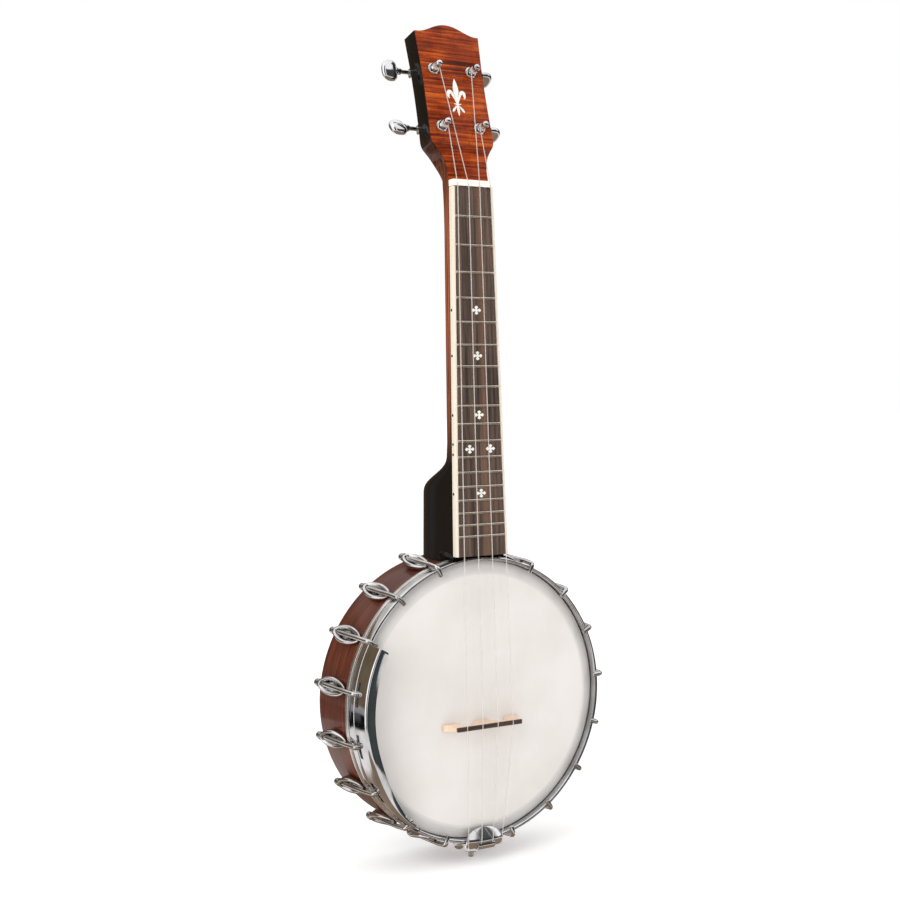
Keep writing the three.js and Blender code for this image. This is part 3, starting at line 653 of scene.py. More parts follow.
def shoe_shape():
    """A spoon-shaped shoe: an oval dish with a thick rim, low at the front and high at the back."""
    # Each level: half width, half length, share of the rim's height, and how much of the tilt it has
    levels = [
        (4.4, 12.2, 0.00, 0), (5.6, 13.8, 0.10, 0.15), (6.4, 14.9, 0.42, 0.5), (6.7, 15.2, 0.70, 0.85),
        (6.6, 15.1, 0.88, 1), (6.2, 14.7, 0.97, 1), (5.5, 14.0, 1.00, 1), (4.7, 13.1, 0.98, 1),
        (4.1, 12.3, 0.90, 1), (3.7, 11.6, 0.74, 0.9), (3.2, 10.4, 0.60, 0.7), (2.1, 8.0, 0.50, 0.5),
        (0.8, 3.0, 0.47, 0.4),
    ]
    seat, front_lip, back_lip = RIM_OUTER + GAP, 103.6, 109.4
    rings = []
    for width, length, share, tilt in levels:
        ring = []
        for out, along in spokes(40):
            lean = (1 + along) / 2 * tilt
            level = front_lip + (back_lip - front_lip) * (lean + 0.5 * (1 - tilt))
            pinch = 1 - 0.12 * max(0, -along)
            ring.append((width * out * pinch, SHOE_Y + length * along,
                         seat + (level - seat) * share))
        rings.append(ring)
    return skin(rings)


def hook_shape(lift):
    """A round hook bar, bent over the hoop, with a rounded end."""
    tip_y = HOOP_FRONT - GAP - HOOK_ROD - lift
    path = [(0, 45, 106.7), (0, 20, 105.6), (0, 5, 104.9), (0, tip_y + 3.2, HOOK_OUT)]
    bend = arc((HOOK_OUT - HOOK_BEND, tip_y + HOOK_BEND), HOOK_BEND, 0, -90, 6)
    path += [(0, y, out) for out, y in bend[1:]]
    path += [(0, tip_y, HOOK_TIP + 1.2)]
    path += [(0, tip_y, HOOK_TIP + 1.2 - 1.1 * math.sin(math.radians(k))) for k in (35, 60, 80)]
    radii = [HOOK_ROD] * (len(path) - 3) + [1.55, 1.15, 0.5]
    return tube(path, radii, 16)


def nut_shape():
    """A round nut with a collar and a domed end."""
    profile = [(0, 0), (2.5, 0), (3.0, 0.4), (3.0, 1.1), (2.5, 1.5), (2.55, 4.4)]
    profile += [(2.55 * r, 4.4 + 2.0 * out) for r, out in arc((0, 0), 1, 18, 90, 4)]
    return spindle(profile, (0, 40.6, 106.7), (0, 50, 107.1), 20)


shoe_hole = tube([(0, 28, 106), (0, 46, 106.8)], 2.05, 16)
for number, degrees in enumerate(hook_angles, 1):
    label = f"{number:02d}"
    spot = POT @ turn(degrees, "Y")
    lift = ARMREST_PLATE + GAP if under_armrest(degrees) else 0
    plated(f"shoe_{label}", shoe_shape(), bracket_chrome, at=spot, stands_for=[f"bracket_shoe_{label}"],
           cuts=[shoe_hole], sharp=60)
    plated(f"hook_{label}", hook_shape(lift), bracket_chrome, at=spot,
           stands_for=[f"bracket_hook_{label}"], sharp=50)
    plated(f"hook_nut_{label}", nut_shape(), bracket_chrome, at=spot, sharp=50)

# ---------- armrest ----------


def armrest_section(share):
    """A straight wall on the hoop, a tight bend and a flat top that falls back a little, one plate thick."""
    bends = 10
    fall = smoothstep(0.5, 1.02, share)
    corner = math.sqrt(max(0.0, 1 - max(0.0, 1 - share / 0.014) ** 2))
    rise = ARMREST_RISE + (ARMREST_TIP_RISE - ARMREST_RISE) * fall
    reach = ARMREST_REACH + (ARMREST_TIP_REACH - ARMREST_REACH) * fall ** 2
    reach *= 0.85 + 0.15 * corner
    foot = HOOP_FRONT - GAP
    crest = foot - rise
    run = reach - ARMREST_BEND
    outer = [(0, foot), (0, (foot + crest) / 2)]
    outer += arc((-ARMREST_BEND, crest + ARMREST_BEND), ARMREST_BEND, 0, -90, bends)
    outer += [(-ARMREST_BEND - run * part, crest + ARMREST_DROP * part ** 1.5) for part in (0.5, 1)]
    facing = [0, 0] + [math.pi / 2 * step / bends for step in range(bends + 1)] + [math.pi / 2] * 2
    inner = [(r - ARMREST_PLATE * math.cos(a), y + ARMREST_PLATE * math.sin(a))
             for (r, y), a in zip(outer, facing)]
    return outer + inner[::-1]


def armrest_shape():
    """The plate's section carried along the hoop, closely spaced where its upper corner is rounded."""
    arcs = 96
    rings = []
    for share in [0, 0.002, 0.005, 0.008] + [i / arcs for i in range(1, arcs + 1)]:
        angle = math.radians(ARMREST_TOP + (ARMREST_TIP - ARMREST_TOP) * share)
        rings.append(swung([(HOOP_OUTER - 0.2 + r, y) for r, y in armrest_section(share)], angle))
    return skin(rings)


def armrest_slots():
    """A window in the plate for each hook that passes under it."""
    foot = HOOP_FRONT - GAP
    height = 2 * HOOK_ROD + 0.7
    slots = []
    for degrees in filter(under_armrest, hook_angles):
        slot = block(17, height, 10, (0, foot - ARMREST_PLATE - height / 2, HOOP_OUTER - 1.6))
        slots.append(moved(slot, turn(degrees, "Y")))
    return slots


def armrest_flange():
    """A thin foot that lies on the hoop under the hooks' tips."""
    foot = HOOP_FRONT - GAP
    low, high = HOOP_INNER - 1.6, HOOP_OUTER - 1.3
    rings = []
    for i in range(61):
        angle = math.radians(ARMREST_TOP - 1 + (ARMREST_TIP - ARMREST_TOP + 2) * i / 60)
        rings.append(swung([(low, foot), (high, foot), (high, foot - 0.9), (low, foot - 0.9)], angle))
    return skin(rings)


plated("armrest_plate", armrest_shape(), stands_for=["armrest"], cuts=armrest_slots(), sharp=50)
plated("armrest_flange", armrest_flange())

# ---------- neck and headstock ----------


def board_half(z):
    return HALF_AT_NUT + (HALF_AT_BOTTOM - HALF_AT_NUT) * (NUT_Z - z) / (NUT_Z - BOARD_BOTTOM_Z)


def heel_share(z):
    """How far the neck's back has turned into the heel at a height, from 0 to 1."""
    share = min(max((HEEL_TOP_Z - z) / HEEL_RUN, 0), 1)
    late = min(max((share - 0.25) / 0.75, 0), 1)
    return 0.12 * share + 0.88 * late ** 3 * (late * (late * 6 - 15) + 10)


def rounded_half(half, depth, squareness, steps):
    """Half of a rounded outline, round the back from side to side; a squareness of 2 is an ellipse."""
    points = []
    for i in range(steps + 1):
        angle = i / steps * math.pi
        c, s = math.cos(angle), abs(math.sin(angle))
        points.append((math.copysign(half * abs(c) ** (2 / squareness), c), depth * s ** (2 / squareness)))
    return points


def neck_ring(z, half, depth, squareness):
    """The neck's section at a height, closed by the flat under the board."""
    return [(x, NECK_TOP + y, z) for x, y in rounded_half(half, depth, squareness, 40)]


def neck_shape():
    heel = [147 + 1.5 * i for i in range(26)]
    stations = [86, 100, 115, 130, 138, 143, *heel, 192, 205, 225, 250, 280, 310, 335]
    rings = []
    for z in stations:
        share = heel_share(z)
        full = HEEL_BACK_Y - BOARD_FRONT_Y - z * math.tan(math.radians(NECK_PITCH)) - NECK_TOP
        depth = NECK_DEPTH + (full - NECK_DEPTH) * share
        rings.append(neck_ring(z, board_half(z) - 0.15, depth, 2.5 + 2.5 * share))
    throat = ((350, 16.65, 17.6, 2.5), (360, 16.4, 18.2, 2.6), (367, 16.3, 18.3, 2.8),
              (374, 16.0, 17.2, 3.0), (379, 15.2, 15.4, 3.2))
    return skin(rings + [neck_ring(*section) for section in throat])


def headstock_outline(steps=10):
    """Right half from the nut to the peak, then mirrored; x across, z up the face."""
    def curve(a, b, c, d):
        points = []
        for i in range(1, steps + 1):
            t = i / steps
            weights = ((1 - t) ** 3, 3 * t * (1 - t) ** 2, 3 * t * t * (1 - t), t ** 3)
            points.append(tuple(sum(w * p[k] for w, p in zip(weights, (a, b, c, d))) for k in (0, 1)))
        return points
    half = [(HALF_AT_NUT, -8), (HALF_AT_NUT, 10.2)]
    for bend in (((17.6, 19.2), (20, 23.2), (24, 28.2)), ((25.7, 30.2), (26.4, 32.7), (26.3, 35.2)),
                 ((25.5, 53), (25.3, 71), (25.7, 90))):
        half += curve(half[-1], *bend)
    half += [(26.8, 114.5)]
    half += curve(half[-1], (17, 113.6), (11, 121.4), (0, 121.4))
    return half + [(-x, z) for x, z in reversed(half[:-1])]


def throat_cutter():
    """All but what the slab keeps: round back corners at the throat, square ones above."""
    proud, depth = 2, HEADSTOCK_THICKNESS + 2.4
    sections = [(-12, 16.7, 2.9), (4, 17.2, 3.2), (15, 20.5, 4.5), (26, 28, 8), (36, 31, 14), (126, 31, 14)]
    rings = []
    for z, half, squareness in smooth_path(sections, 4):
        inner = [(x, y - proud, z) for x, y in rounded_half(half, depth, squareness, 40)]
        rings.append(inner + [(-40, -proud, z), (-40, 30, z), (40, 30, z), (40, -proud, z)])
    return skin(rings)


VENEER = 0.7
NUT_END = NUT_Z + NUT_LENGTH + 0.2
post_places = [(side * POST_X, z) for z in POST_HEIGHTS for side in (-1, 1)]
post_holes = [tube([(x, -5, z), (x, 25, z)], POST_HOLE, 24) for x, z in post_places]

hoop_gap, rim_gap = HOOP_OUTER + GAP, RIM_OUTER + GAP
pot_clearance = lathe([(0, -30), (hoop_gap, -30), (hoop_gap, 9.3), (rim_gap, 9.3), (rim_gap, 70), (0, 70)])
in_board = shift(0, BOARD_FRONT_Y, 0) @ turn(-NECK_PITCH, "X")
in_face = in_board @ FACE_IN_BOARD
over_face = moved(block(80, 40, 200, (0, -20 + VENEER, 90)), in_face)
nut_seat = moved(block(60, 30, 40, (0, NECK_TOP - 15, NUT_END - 20)), in_board)
make("neck_shaft", moved(neck_shape(), in_board), neck_lacquer, stands_for=["neck"], slot="neck_wood",
     cuts=[pot_clearance, over_face, nut_seat, stud_cut(90, 118.6)], sharp=50)
slab = prism(headstock_outline(), VENEER, HEADSTOCK_THICKNESS)
slab_floor = moved(block(60, 40, 24, (0, NECK_TOP - 20, NUT_END - 12)), FACE_IN_BOARD.inverted())
make("headstock_slab", slab, neck_lacquer, at=FACE, slot="neck_wood", bevel=0.6,
     cuts=[throat_cutter(), slab_floor, *post_holes])
face_outline = [(x * 0.985, z) for x, z in headstock_outline()]
make("headstock_veneer", prism(face_outline, 0, VENEER), veneer, at=FACE, slot="veneer", bevel=0.3,
     cuts=[slab_floor, *post_holes])


def board_strip(left, right):
    """A strip of the board between two lines, each given as its x at the bottom and at the nut."""
    top = NUT_Z - GAP
    outline = [(left[0], BOARD_BOTTOM_Z), (right[0], BOARD_BOTTOM_Z), (right[1], top), (left[1], top)]
    return prism(outline, 0, BOARD_THICKNESS)


inner_left, inner_right = ((side * (HALF_AT_BOTTOM - BINDING), side * (HALF_AT_NUT - BINDING))
                           for side in (-1, 1))
outer_left, outer_right = ((side * HALF_AT_BOTTOM, side * HALF_AT_NUT) for side in (-1, 1))
make("fretboard", board_strip(inner_left, inner_right), rosewood, at=BOARD, stands_for=["fingerboard"],
     slot="rosewood", bevel=0.12)
for label, left, right in (("left", outer_left, inner_left), ("right", inner_right, outer_right)):
    make(f"binding_{label}", board_strip(left, right), ivoroid, at=BOARD, slot="ivoroid", bevel=0.35)


def fret_z(number):
    return NUT_Z - SCALE_LENGTH * (1 - 2 ** (-number / 12))


def fret_shape(z):
    """A crowned wire across the board between the bindings."""
    half = board_half(z) - BINDING + 0.1
    section = [(1.05, 0.05)] + arc((0, 0.0), 1.0, 0, 180, 10)[1:-1] + [(-1.05, 0.05)]
    rings = []
    ends = ((half, 0.55), (half - 0.5, 0.05), (half - 0.9, 0))
    for x, inset in [(-x, inset) for x, inset in ends] + list(ends[::-1]):
        rings.append([(x, 0.1 - max(up - inset, 0) * 0.95, z + across) for across, up in section])
    return skin(rings)


for number in range(1, FRETS + 1):
    make(f"fret_{number:02d}", fret_shape(fret_z(number)), fret_metal, at=BOARD, slot="fret_wire", sharp=70)


def cross_outline(width, height):
    """Four pointed petals about a full centre."""
    arm = [(0.26, 0.17), (0.42, 0.22), (0.58, 0.36), (0.76, 0.34), (0.89, 0.15), (1, 0)]
    arm += [(out, -side) for out, side in reversed(arm[:-1])]
    points = []
    for quarter in range(4):
        angle = math.pi / 2 * quarter
        c, s = math.cos(angle), math.sin(angle)
        points += [((out * c + side * s) * width / 2, (out * s - side * c) * height / 2) for out, side in arm]
    return points


markers = {5: (0,), 7: (0,), 10: (0,), 12: (-8.6, 8.6), 15: (0,)}
for number, places in markers.items():
    z = (fret_z(number - 1) + fret_z(number)) / 2
    for index, x in enumerate(places):
        outline = [(x + px, z + pz) for px, pz in cross_outline(7.8, 6.4)]
        make(f"inlay_{number:02d}_{index + 1}", prism(outline, -0.03, 0.6), pearl, at=BOARD, slot="pearl")
        spread = 3.6 * (2 * index - 1) if len(places) > 1 else 0
        edge = -board_half(z + spread)
        dot = tube([(edge - 0.06, 3.9, z + spread), (edge + 0.6, 3.9, z + spread)], 1.0, 24)
        make(f"side_dot_{number:02d}_{index + 1}", dot, dot_black, at=BOARD, slot="ebony")


def nut_block():
    side = [(0, -1.4), (NUT_LENGTH, -0.6), (NUT_LENGTH, BOARD_THICKNESS), (0, BOARD_THICKNESS)]
    return skin([[(x, y, NUT_Z + z) for z, y in side] for x in (-HALF_AT_NUT, HALF_AT_NUT)])


STRING_AT_NUT = 9.05
STRING_AT_BRIDGE = 12.7
STRING_AT_TAIL = 9.4
orders = (-1.5, -0.5, 0.5, 1.5)
nut_grooves = [tube([(o * STRING_AT_NUT, -1.62, NUT_Z - 2), (o * STRING_AT_NUT, -0.9, NUT_Z + 7)], 0.5, 10)
               for o in orders]
make("nut_bone", nut_block(), bone, at=BOARD, stands_for=["string_nut"], slot="bone", bevel=0.3,
     cuts=nut_grooves)


def stroke(path, widths, near):
    """A tapered brush stroke along x/z points, given thickness along Y."""
    line = smooth_path([(x, 0, z) for x, z in path], 5)
    spread = smooth_path([(w, 0, 0) for w in widths], 5)
    left, right = [], []
    for i, point in enumerate(line):
        along = heading(line, i)
        side = Vector((-along.z, 0, along.x)) * max(spread[i].x, 0.05)
        left.append(((point + side).x, (point + side).z))
        right.append(((point - side).x, (point - side).z))
    return prism(left + right[::-1], near, 0.4)


def flower_shape():
    """A plain three-petalled lily: centre leaf, two curled leaves, a band and three tails."""
    parts = [
        stroke([(0, 60.5), (0, 65), (0, 70.5), (0, 76), (0, 80)], [0.6, 1.0, 2.3, 1.5, 0.05], -0.03),
        stroke([(0, 59.5), (0, 56), (0, 53), (0, 51.2)], [0.6, 1.1, 0.6, 0.05], -0.034),
        stroke([(-3.0, 60.6), (0, 60.1), (3.0, 60.6)], [0.15, 0.6, 0.15], -0.036),
        stroke([(-2.2, 58.9), (0, 58.6), (2.2, 58.9)], [0.1, 0.4, 0.1], -0.04),
    ]
    for side in (-1, 1):
        curl = [(0.4, 61), (2.0, 65.2), (4.1, 69.2), (6.2, 69.2), (6.8, 66.4), (6.0, 64.4)]
        tail = [(0.3, 59.5), (2.0, 57.8), (4.0, 55.5), (4.8, 54.2)]
        parts.append(stroke([(side * x, z) for x, z in curl], [0.5, 0.75, 1.25, 1.4, 0.9, 0.1], -0.044))
        parts.append(stroke([(side * x, z) for x, z in tail], [0.2, 0.6, 0.9, 0.1], -0.048))
    return moved(merged(*parts), shift(0.4, 0, 0))


make("lily_inlay", flower_shape(), pearl, at=FACE, slot="pearl")

# ---------- tuners ----------

# Distances are from a post's own axis and the face of the headstock
PLATE_Y = HEADSTOCK_THICKNESS + GAP
PLATE_TOP = PLATE_Y + 1.2
SHAFT_Y = PLATE_TOP + 4.3
SHAFT_RISE = 6
SHAFT_RADIUS = 1.5
LUG_X = 6.5
GRIP_X = 23.6
WHEEL_TEETH = 14
WHEEL_RADIUS = 4.0
POST_WAIST = 1.95
BUTTON_TURNS = (38, 75, 0, 75)


def plate_shape():
    """Base plate with rounded ends."""
    outline = []
    for quarter, (x, z) in enumerate(((3.5, 8.5), (-3.5, 8.5), (-3.5, -5.5), (3.5, -5.5))):
        outline += arc((x, z), 4, 90 * quarter, 90 * quarter + 90, 5)
    return prism(outline, PLATE_Y, PLATE_TOP)


def gear_shape():
    """Worm wheel with teeth round its edge."""
    outline = []
    for i in range(WHEEL_TEETH):
        for offset, radius in ((0, 3.4), (0.3, WHEEL_RADIUS), (0.5, WHEEL_RADIUS), (0.8, 3.4)):
            angle = 2 * math.pi * (i + offset) / WHEEL_TEETH
            outline.append((radius * math.cos(angle), radius * math.sin(angle)))
    return prism(outline, PLATE_TOP + 2.2, PLATE_TOP + 6.6)


def shaft_bar(start, end, radius, sides=20):
    return tube([(start, SHAFT_Y, SHAFT_RISE), (end, SHAFT_Y, SHAFT_RISE)], radius, sides)


def worm_shape():
    """A bar with one helical thread, whose pitch is that of the wheel's teeth."""
    pitch = 2 * math.pi * WHEEL_RADIUS / WHEEL_TEETH
    steps, sides, half = 96, 20, 5.2
    rings = []
    for i in range(steps + 1):
        along = half * (2 * i / steps - 1)
        ring = []
        for j in range(sides):
            angle = 2 * math.pi * j / sides
            radius = 1.62 + 0.22 * math.cos(angle - 2 * math.pi * along / pitch)
            ring.append((along, SHAFT_Y + radius * math.cos(angle), SHAFT_RISE + radius * math.sin(angle)))
        rings.append(ring)
    return skin(rings)


def grip_shape(side, turned):
    """A half-moon button on its collar, straight and shouldered inside and round outside."""
    levels = 9
    rim = []
    for out, wide in spokes(48):
        reach = 6.4 * out if out > 0 else -6.0 * abs(out) ** 0.6 * (1 - 0.16 * (1 - wide ** 2) ** 4)
        rim.append((GRIP_X + reach, 8.0 * math.copysign(abs(wide) ** 0.86, wide)))
    rings = []
    for level in range(-levels, levels + 1):
        tilt = math.pi / 2 * level / levels
        share, thick = math.cos(tilt) ** 0.75 if abs(level) < levels else 0.0, 3.7 * math.sin(tilt)
        rings.append([(GRIP_X + (along - GRIP_X) * share, thick, wide * share) for along, wide in rim])
    dished = skin(rings, caps=False)
    collar = spindle([(0, 0), (2.2, 0), (2.5, 0.8), (2.2, 1.8), (2.6, 2.8), (3.1, 3.8), (2.4, 5.4), (0, 5.6)],
                     (15.0, 0, 0), (30, 0, 0), 32)
    placed = shift(0, SHAFT_Y, SHAFT_RISE) @ Matrix.Diagonal((side, 1, 1, 1)) @ turn(side * turned, "X")
    return moved(merged(dished, collar), placed)


bushing = [(3.25, -0.1), (4.65, -0.1), (4.65, -0.5), (4.3, -1.0), (3.6, -1.5), (3.25, -1.45), (3.15, -0.9)]
screw_head = spindle([(0, 0), (1.6, 0), (1.5, 0.5), (0.9, 0.95), (0, 1.0)], (0, 0, 0), (0, 1, 0), 20)
screw_slot = block(4, 0.5, 0.45, (0, 1, 0))
post_profile = [(0, PLATE_TOP + 7), (2.2, PLATE_TOP + 7), (2.4, PLATE_TOP + 6.6), (2.9, 18), (2.9, -1.6),
                (2.75, -2.2), (2.15, -3.0), (POST_WAIST, -4.4), (POST_WAIST, -6.2), (2.2, -7.0), (2.5, -7.6)]
post_profile += [(2.55 * r, -8.9 - 2.2 * out) for r, out in arc((0, 0), 1, -20, 85, 7)]
post_profile[-1] = (0, post_profile[-1][1])
for number, (x, z) in enumerate(post_places, 1):
    side = math.copysign(1, x)
    post, button = f"post_{number}", f"button_{number}"
    spot = FACE @ shift(x, 0, z)
    plated(f"bushing_{number}", lathe(bushing, 48, closed=True), at=spot)
    plated(f"tuner_base_{number}", plate_shape(), at=spot, stands_for=[f"tuner_plate_{number}"], bevel=0.25,
           cuts=[tube([(0, PLATE_Y - 1, 0), (0, PLATE_Y + 3, 0)], POST_HOLE, 24)])
    for end in (-1, 1):
        label = "in" if end * side < 0 else "out"
        lug = block(1.6, 7.2, 6.4, (end * LUG_X, PLATE_TOP + 3.6, SHAFT_RISE))
        plated(f"tuner_lug_{label}_{number}", lug, at=spot, bevel=0.5, cuts=[shaft_bar(-12, 12, 1.7, 16)])
        seat = spot @ shift(-3.6 * end, PLATE_TOP, 1.5 + 8.6 * end)
        make(f"tuner_screw_{label}_{number}", screw_head, steel, at=seat, cuts=[screw_slot])
    plated(f"post_bar_{number}", lathe(post_profile, 40), at=spot, body=post,
           stands_for=[f"string_post_{number}"])
    make(f"worm_wheel_{number}", gear_shape(), brass, at=spot, body=post, slot="brass", bevel=0.15)
    shaft = shaft_bar(-9 * side, 17.5 * side, SHAFT_RADIUS)
    plated(f"button_shaft_{number}", shaft, at=spot, body=button, bevel=0.2)
    plated(f"worm_{number}", worm_shape(), steel, at=spot, body=button)
    plated(f"button_grip_{number}", grip_shape(side, BUTTON_TURNS[number - 1]), at=spot, body=button,
           stands_for=[f"tuner_button_{number}"], sharp=60)

# ---------- bridge, tailpiece and strings ----------

BRIDGE_FOOT_Y = HEAD_Y - 0.05
BRIDGE_LEAN = 1.0
CAP = 1.6


def bridge_outline():
    """Three feet with an arch between each pair; x across, second value up from the head."""
    half = 31
    right = [(half, 0.0), (half, 3.2)]
    right += [(half - 4.5 * up, 3.2 + (BRIDGE_HEIGHT - CAP - 3.2) * (1 - out))
              for out, up in arc((0, 0), 1, 15, 90, 5)]
    top = right + [(-x, y) for x, y in reversed(right)]
    arch = []
    for low, high in ((-half + 11, -5.6), (5.6, half - 11)):
        for k in range(13):
            angle = math.radians(180 - 15 * k)
            middle, reach = (low + high) / 2, (high - low) / 2
            arch.append((middle + reach * math.cos(angle), 9.6 * math.sin(angle) ** 0.8))
    return top + arch


def bridge_middle(up):
    """How high the bridge's middle is at a distance from the head; it leans a little to the neck."""
    return BRIDGE_Z + 0.4 + (BRIDGE_LEAN - 0.4) * up / BRIDGE_HEIGHT


def bridge_ring(share, thick):
    return [(x, BRIDGE_FOOT_Y - y, bridge_middle(y) + share * (thick / 2 - 0.09 * y))
            for x, y in bridge_outline()]


make("bridge_body", skin([bridge_ring(-1, 5.4), bridge_ring(1, 5.4)]), maple, stands_for=["bridge"],
     slot="maple", bevel=0.35)
cap_low = BRIDGE_FOOT_Y - (BRIDGE_HEIGHT - CAP)
cap_z = bridge_middle(BRIDGE_HEIGHT)
cap_block = block(53.4, CAP, 3.0, (0, cap_low - CAP / 2, cap_z))
groove_y = cap_low - CAP - 0.25
cap_grooves = [tube([(o * STRING_AT_BRIDGE, groove_y, cap_z + end) for end in (-4, 4)], 0.45, 10)
               for o in orders]
make("bridge_cap", cap_block, ebony, slot="ebony", bevel=0.3, cuts=cap_grooves)


def tail_depth(up, across):
    """How far the cover stands out: from its lower edge to a crest, then back to its round top."""
    if up < TAIL_CREST:
        level = 0.5 + 0.5 * smoothstep(-0.25, 1, up / TAIL_CREST)
    else:
        level = 1 - 0.95 * (up - TAIL_CREST) / (1 - TAIL_CREST)
    side = (1 - min(1, abs(across)) ** 4) ** 0.5
    return 4.4 + 4.8 * level * (0.25 + 0.75 * side)


def tail_cover():
    """A half-moon shell over the hoop with a crest across it and a thin wall."""
    rows, columns = 24, 48
    outer, inner = [], []
    for surface, inset in ((outer, 0), (inner, TAIL_WALL)):
        for i in range(rows + 1):
            up = math.sin(math.pi / 2 * i / rows)
            half = (TAILPIECE_HALF - inset) * max(0.02, 1 - up ** 3) ** 0.45
            line = []
            for j in range(columns + 1):
                across = math.sin(math.pi * (j / columns - 0.5))
                x = half * across
                spread = x / (TAILPIECE_HALF - inset)
                z = -103.6 + (12.9 - inset) * up - 1.2 * (1 - up) * (1 - spread ** 2)
                line.append((x, -tail_depth(up, across) + inset, z))
            surface.append(line)
    walls = [(outer[0], inner[0]), (outer[-1], inner[-1])]
    walls += [([line[j] for line in outer], [line[j] for line in inner]) for j in (0, -1)]
    return merged(*(skin(rings, closed=False, caps=False) for rings in (outer, inner, *walls)))


plated("tail_cover", tail_cover(), stands_for=["tailpiece"], sharp=50)


def strap_shape():
    """A bent strap from inside the cover, over the hoop and back along the rim."""
    corners = ((-7.8, -100.6), (-8.4, -103), (-6.5, -105.2), (-2, -105.7), (8, -105.6), (22, -105.5),
               (37.6, -105.5))
    line = smooth_path([(0, y, z) for y, z in corners], 6)
    rings = []
    for i, point in enumerate(line):
        along = heading(line, i)
        out = Vector((0, along.z, -along.y)) * 0.75
        half = Vector((7 - 3.2 * smoothstep(30, 38, point.y) - 1.6 * smoothstep(0, 10, point.y), 0, 0))
        rings.append([point + out + half, point + out - half, point - out - half, point - out + half])
    return skin(rings)


plated("tail_strap", strap_shape(), bevel=0.25, sharp=40)


def at_screw(low, high, radius, sides):
    return tube([(0, TAIL_SCREW_Y, low), (0, TAIL_SCREW_Y, high)], radius, sides)


make("tail_screw", at_screw(-116.6, -106, 2.2, 20), steel, bevel=0.5)
make("tail_washer", at_screw(-107.6, -106.3, 6.6, 36), chrome, bevel=0.35)
make("tail_nut", at_screw(-112.6, -107.6, 5.2, 6), chrome, bevel=0.5)

STRING_POSTS = (1, 3, 4, 2)
WOUND = POST_WAIST + STRING_RADIUS
WINDING_TURNS = 3.2
WINDING_STEPS = 24


def string_path(order, post_x, post_z, sense):
    """From under the tailpiece's edge over the cover, the bridge and the nut to the post."""
    tail = order * STRING_AT_TAIL
    across = abs(tail) / TAILPIECE_HALF
    proud = STRING_RADIUS + 0.15
    edge_y = -tail_depth(0, across) - proud
    crest_y = -tail_depth(TAIL_CREST, across / 0.93) - proud
    crown = cap_low - CAP - STRING_RADIUS + 0.1
    nut_top = in_board @ Vector((order * STRING_AT_NUT, -1.25 - STRING_RADIUS, NUT_Z + 0.4))
    post = in_face @ Vector((post_x + WOUND * sense, -4.6, post_z))
    return [(tail, edge_y + 1.6, -105.6), (tail, edge_y, -104.2), (tail, crest_y, -98.2),
            (order * STRING_AT_BRIDGE, crown, cap_z), nut_top, post]


for number, (order, post) in enumerate(zip(orders, STRING_POSTS), 1):
    x, z = post_places[post - 1]
    sense = 1 if x < 0 else -1
    make(f"string_line_{number}", tube(string_path(order, x, z, sense), STRING_RADIUS, 12), nylon,
         stands_for=[f"string_{number}"], slot="nylon")
    winding = []
    for i in range(int(WINDING_TURNS * WINDING_STEPS) + 1):
        angle = 2 * math.pi * i / WINDING_STEPS
        winding.append((WOUND * math.cos(angle) * sense, -3.0 - i / WINDING_STEPS * 0.8,
                        WOUND * math.sin(angle)))
    make(f"string_winding_{number}", tube(winding, STRING_RADIUS, 10), nylon, at=FACE @ shift(x, 0, z),
         body=f"post_{post}", slot="nylon")

# ---------- camera, floor and light ----------

CAMERA_SPOT = POT @ Vector((-559.19, -903.88, 223.62))
AZIMUTH, ELEVATION, ROLL = -30.70, 2.462, -0.496

camera_data = bpy.data.cameras.new("camera")
camera_data.lens = 60.14
camera_data.sensor_width = 36
camera_data.clip_start = 0.05
camera_data.clip_end = 100
camera = link("camera", camera_data)
aim = turn(AZIMUTH, "Z") @ turn(90 - ELEVATION, "X") @ turn(ROLL, "Z")
camera.matrix_world = Matrix.Translation(CAMERA_SPOT) @ aim
bpy.context.scene.camera = camera

FLOOR_HALF = 12
corners = [(x * FLOOR_HALF, y * FLOOR_HALF, 0) for x, y in ((-1, -1), (1, -1), (1, 1), (-1, 1))]
floor = raw_object("floor", (corners, [(0, 1, 2, 3)]), Matrix.Identity(4))
floor_look = Look("pale_floor", Roughness=0.9, Specular_IOR_Level=0.1, Emission_Strength=0.26)
floor_look.shader.inputs["Emission Color"].default_value = (1, 1, 1, 1)
floor_tone = floor_look.grain(scale=0.004, detail=2)
floor_color = floor_look.ramp(floor_tone, (0.3, srgb(250, 250, 250)), (0.7, srgb(253, 253, 253)))
floor.data.materials.append(floor_look.paint(floor_color))
floor.visible_glossy = False


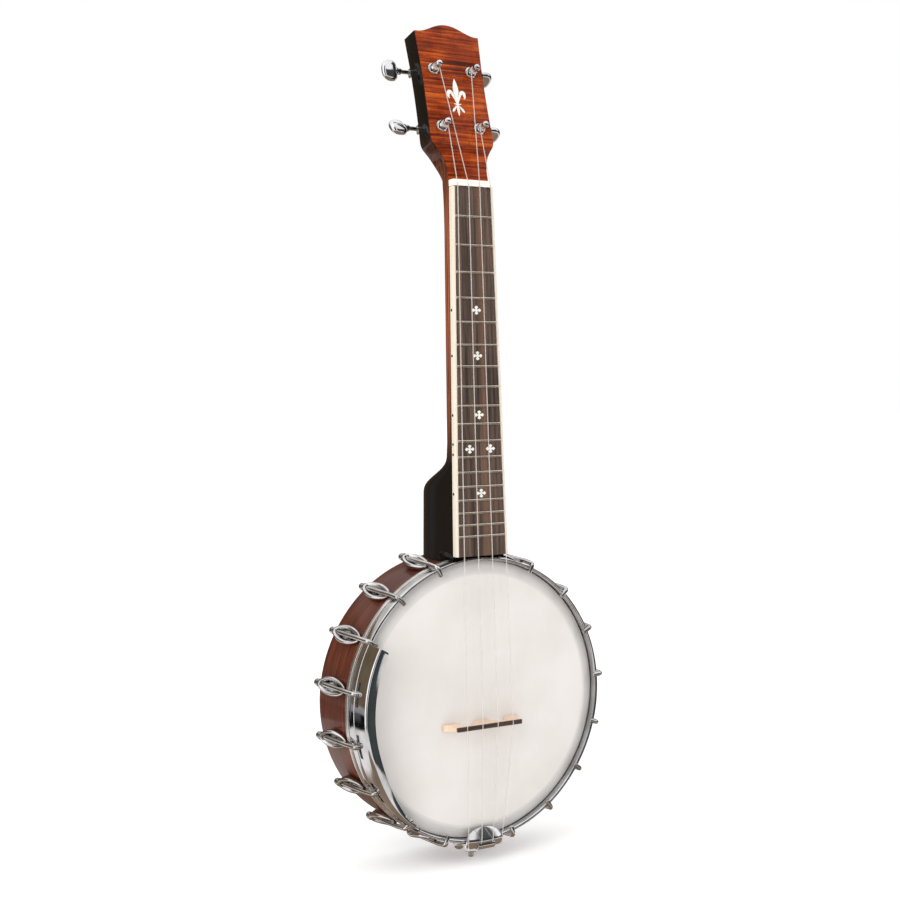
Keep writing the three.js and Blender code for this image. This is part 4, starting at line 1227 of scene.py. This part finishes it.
def studio_world():
    """White for what is seen and lit directly; mirrors see the dark and bright parts of a studio."""
    world = bpy.data.worlds.new("studio")
    bpy.context.scene.world = world
    world.use_nodes = True
    tree = world.node_tree
    tree.nodes.clear()

    def add(kind, inputs=(), output=0, **settings):
        return add_node(tree, kind, inputs, output, **settings)

    def product(a, b):
        return add("ShaderNodeMath", {0: a, 1: b}, operation="MULTIPLY")

    def mix(share, a, b):
        return add("ShaderNodeMix", {0: share, 6: a, 7: b}, output=2, data_type="RGBA")

    def step(value, low, high):
        inputs = {"Value": value, "From Min": low, "From Max": high}
        return add("ShaderNodeMapRange", inputs, interpolation_type="SMOOTHSTEP")

    def sine(degrees):
        return math.sin(math.radians(degrees))

    parts = add("ShaderNodeSeparateXYZ", {0: add("ShaderNodeTexCoord", output=0)}).node.outputs
    height = parts[2]
    level = add("ShaderNodeCombineXYZ", {0: parts[0], 1: parts[1]})
    heading = add("ShaderNodeVectorMath", {0: level}, operation="NORMALIZE")

    def between(low, high, soft):
        """One between two elevations, fading out over a few degrees."""
        rise = step(height, sine(low - soft), sine(low))
        return product(rise, step(height, sine(high + soft), sine(high)))

    def panel(azimuth, width, soft, low, high):
        """An upright panel: azimuth 0 is behind the instrument, -90 on its left, 180 in front."""
        a = math.radians(azimuth)
        inputs = {0: heading, 1: (math.sin(a), math.cos(a), 0)}
        dot = add("ShaderNodeVectorMath", inputs, output=1, operation="DOT_PRODUCT")
        inside = step(dot, math.cos(math.radians(width + soft)), math.cos(math.radians(width)))
        return product(inside, between(low, high, 6))

    # From straight below to straight above: warm ground, white table, dark gap, wall, ceiling
    sky = (0.27, 0.2, 0.145, 1)
    for low, high, tone in (
        (-31, -28.5, (0.86, 0.84, 0.82)), (-17.5, -16, (0.006, 0.006, 0.006)),
        (-10.8, -10, (0.34, 0.33, 0.32)), (-8, -7, (0.16, 0.115, 0.07)),
        (20, 24.5, (0.62, 0.59, 0.565)), (30, 38, (1.1, 1.1, 1.1)),
    ):
        sky = mix(step(height, sine(low), sine(high)), sky, (*tone, 1))
    for azimuth, width, soft, low, high, tone in (
        (-25, 1.5, 2, -9, 5, (0.2, 0.2, 0.2)), (-75, 22, 4, -14, 60, (1.35, 1.33, 1.33)),
        (-112, 8, 3, -14, 45, (0.02, 0.02, 0.02)), (-132, 8, 3, -14, 60, (0.9, 0.9, 0.9)),
        (180, 38, 5, -14, 32, (0.05, 0.06, 0.06)), (118, 14, 4, 14, 55, (1.15, 1.15, 1.18)),
        (118, 20, 4, -14, 12, (0.06, 0.07, 0.07)), (88, 9, 4, -14, 40, (0.03, 0.03, 0.03)),
        (60, 12, 5, -15, 50, (0.9, 0.9, 0.92)), (26, 12, 6, -30, -5, (0.3, 0.24, 0.19)),
    ):
        sky = mix(panel(azimuth, width, soft, low, high), sky, (*tone, 1))
    rays = tree.nodes.new("ShaderNodeLightPath")
    lit = mix(rays.outputs["Is Camera Ray"], (0.9, 0.895, 0.89, 1), (1.0, 1.0, 1.0, 1))
    seen = mix(rays.outputs["Is Glossy Ray"], lit, sky)
    shader = tree.nodes.new("ShaderNodeBackground")
    tree.links.new(seen, shader.inputs["Color"])
    output = tree.nodes.new("ShaderNodeOutputWorld")
    tree.links.new(shader.outputs[0], output.inputs["Surface"])


studio_world()


def softbox(name, spot, target, width, height, watts):
    data = bpy.data.lights.new(name, "AREA")
    data.shape = "RECTANGLE"
    data.size = width
    data.size_y = height
    data.energy = watts
    lamp = link(name, data)
    lamp.location = spot
    lamp.rotation_mode = "QUATERNION"
    lamp.rotation_quaternion = (Vector(target) - Vector(spot)).to_track_quat("-Z", "Y")
    lamp.visible_glossy = False


softbox("softbox_left", (-1.5, -0.9, 0.9), (0, 0, 0.25), 0.8, 1.4, 12)
softbox("softbox_right", (1.3, -1.4, 1.1), (0, 0, 0.3), 0.9, 1.2, 4)
bpy.context.scene.view_settings.view_transform = "Standard"
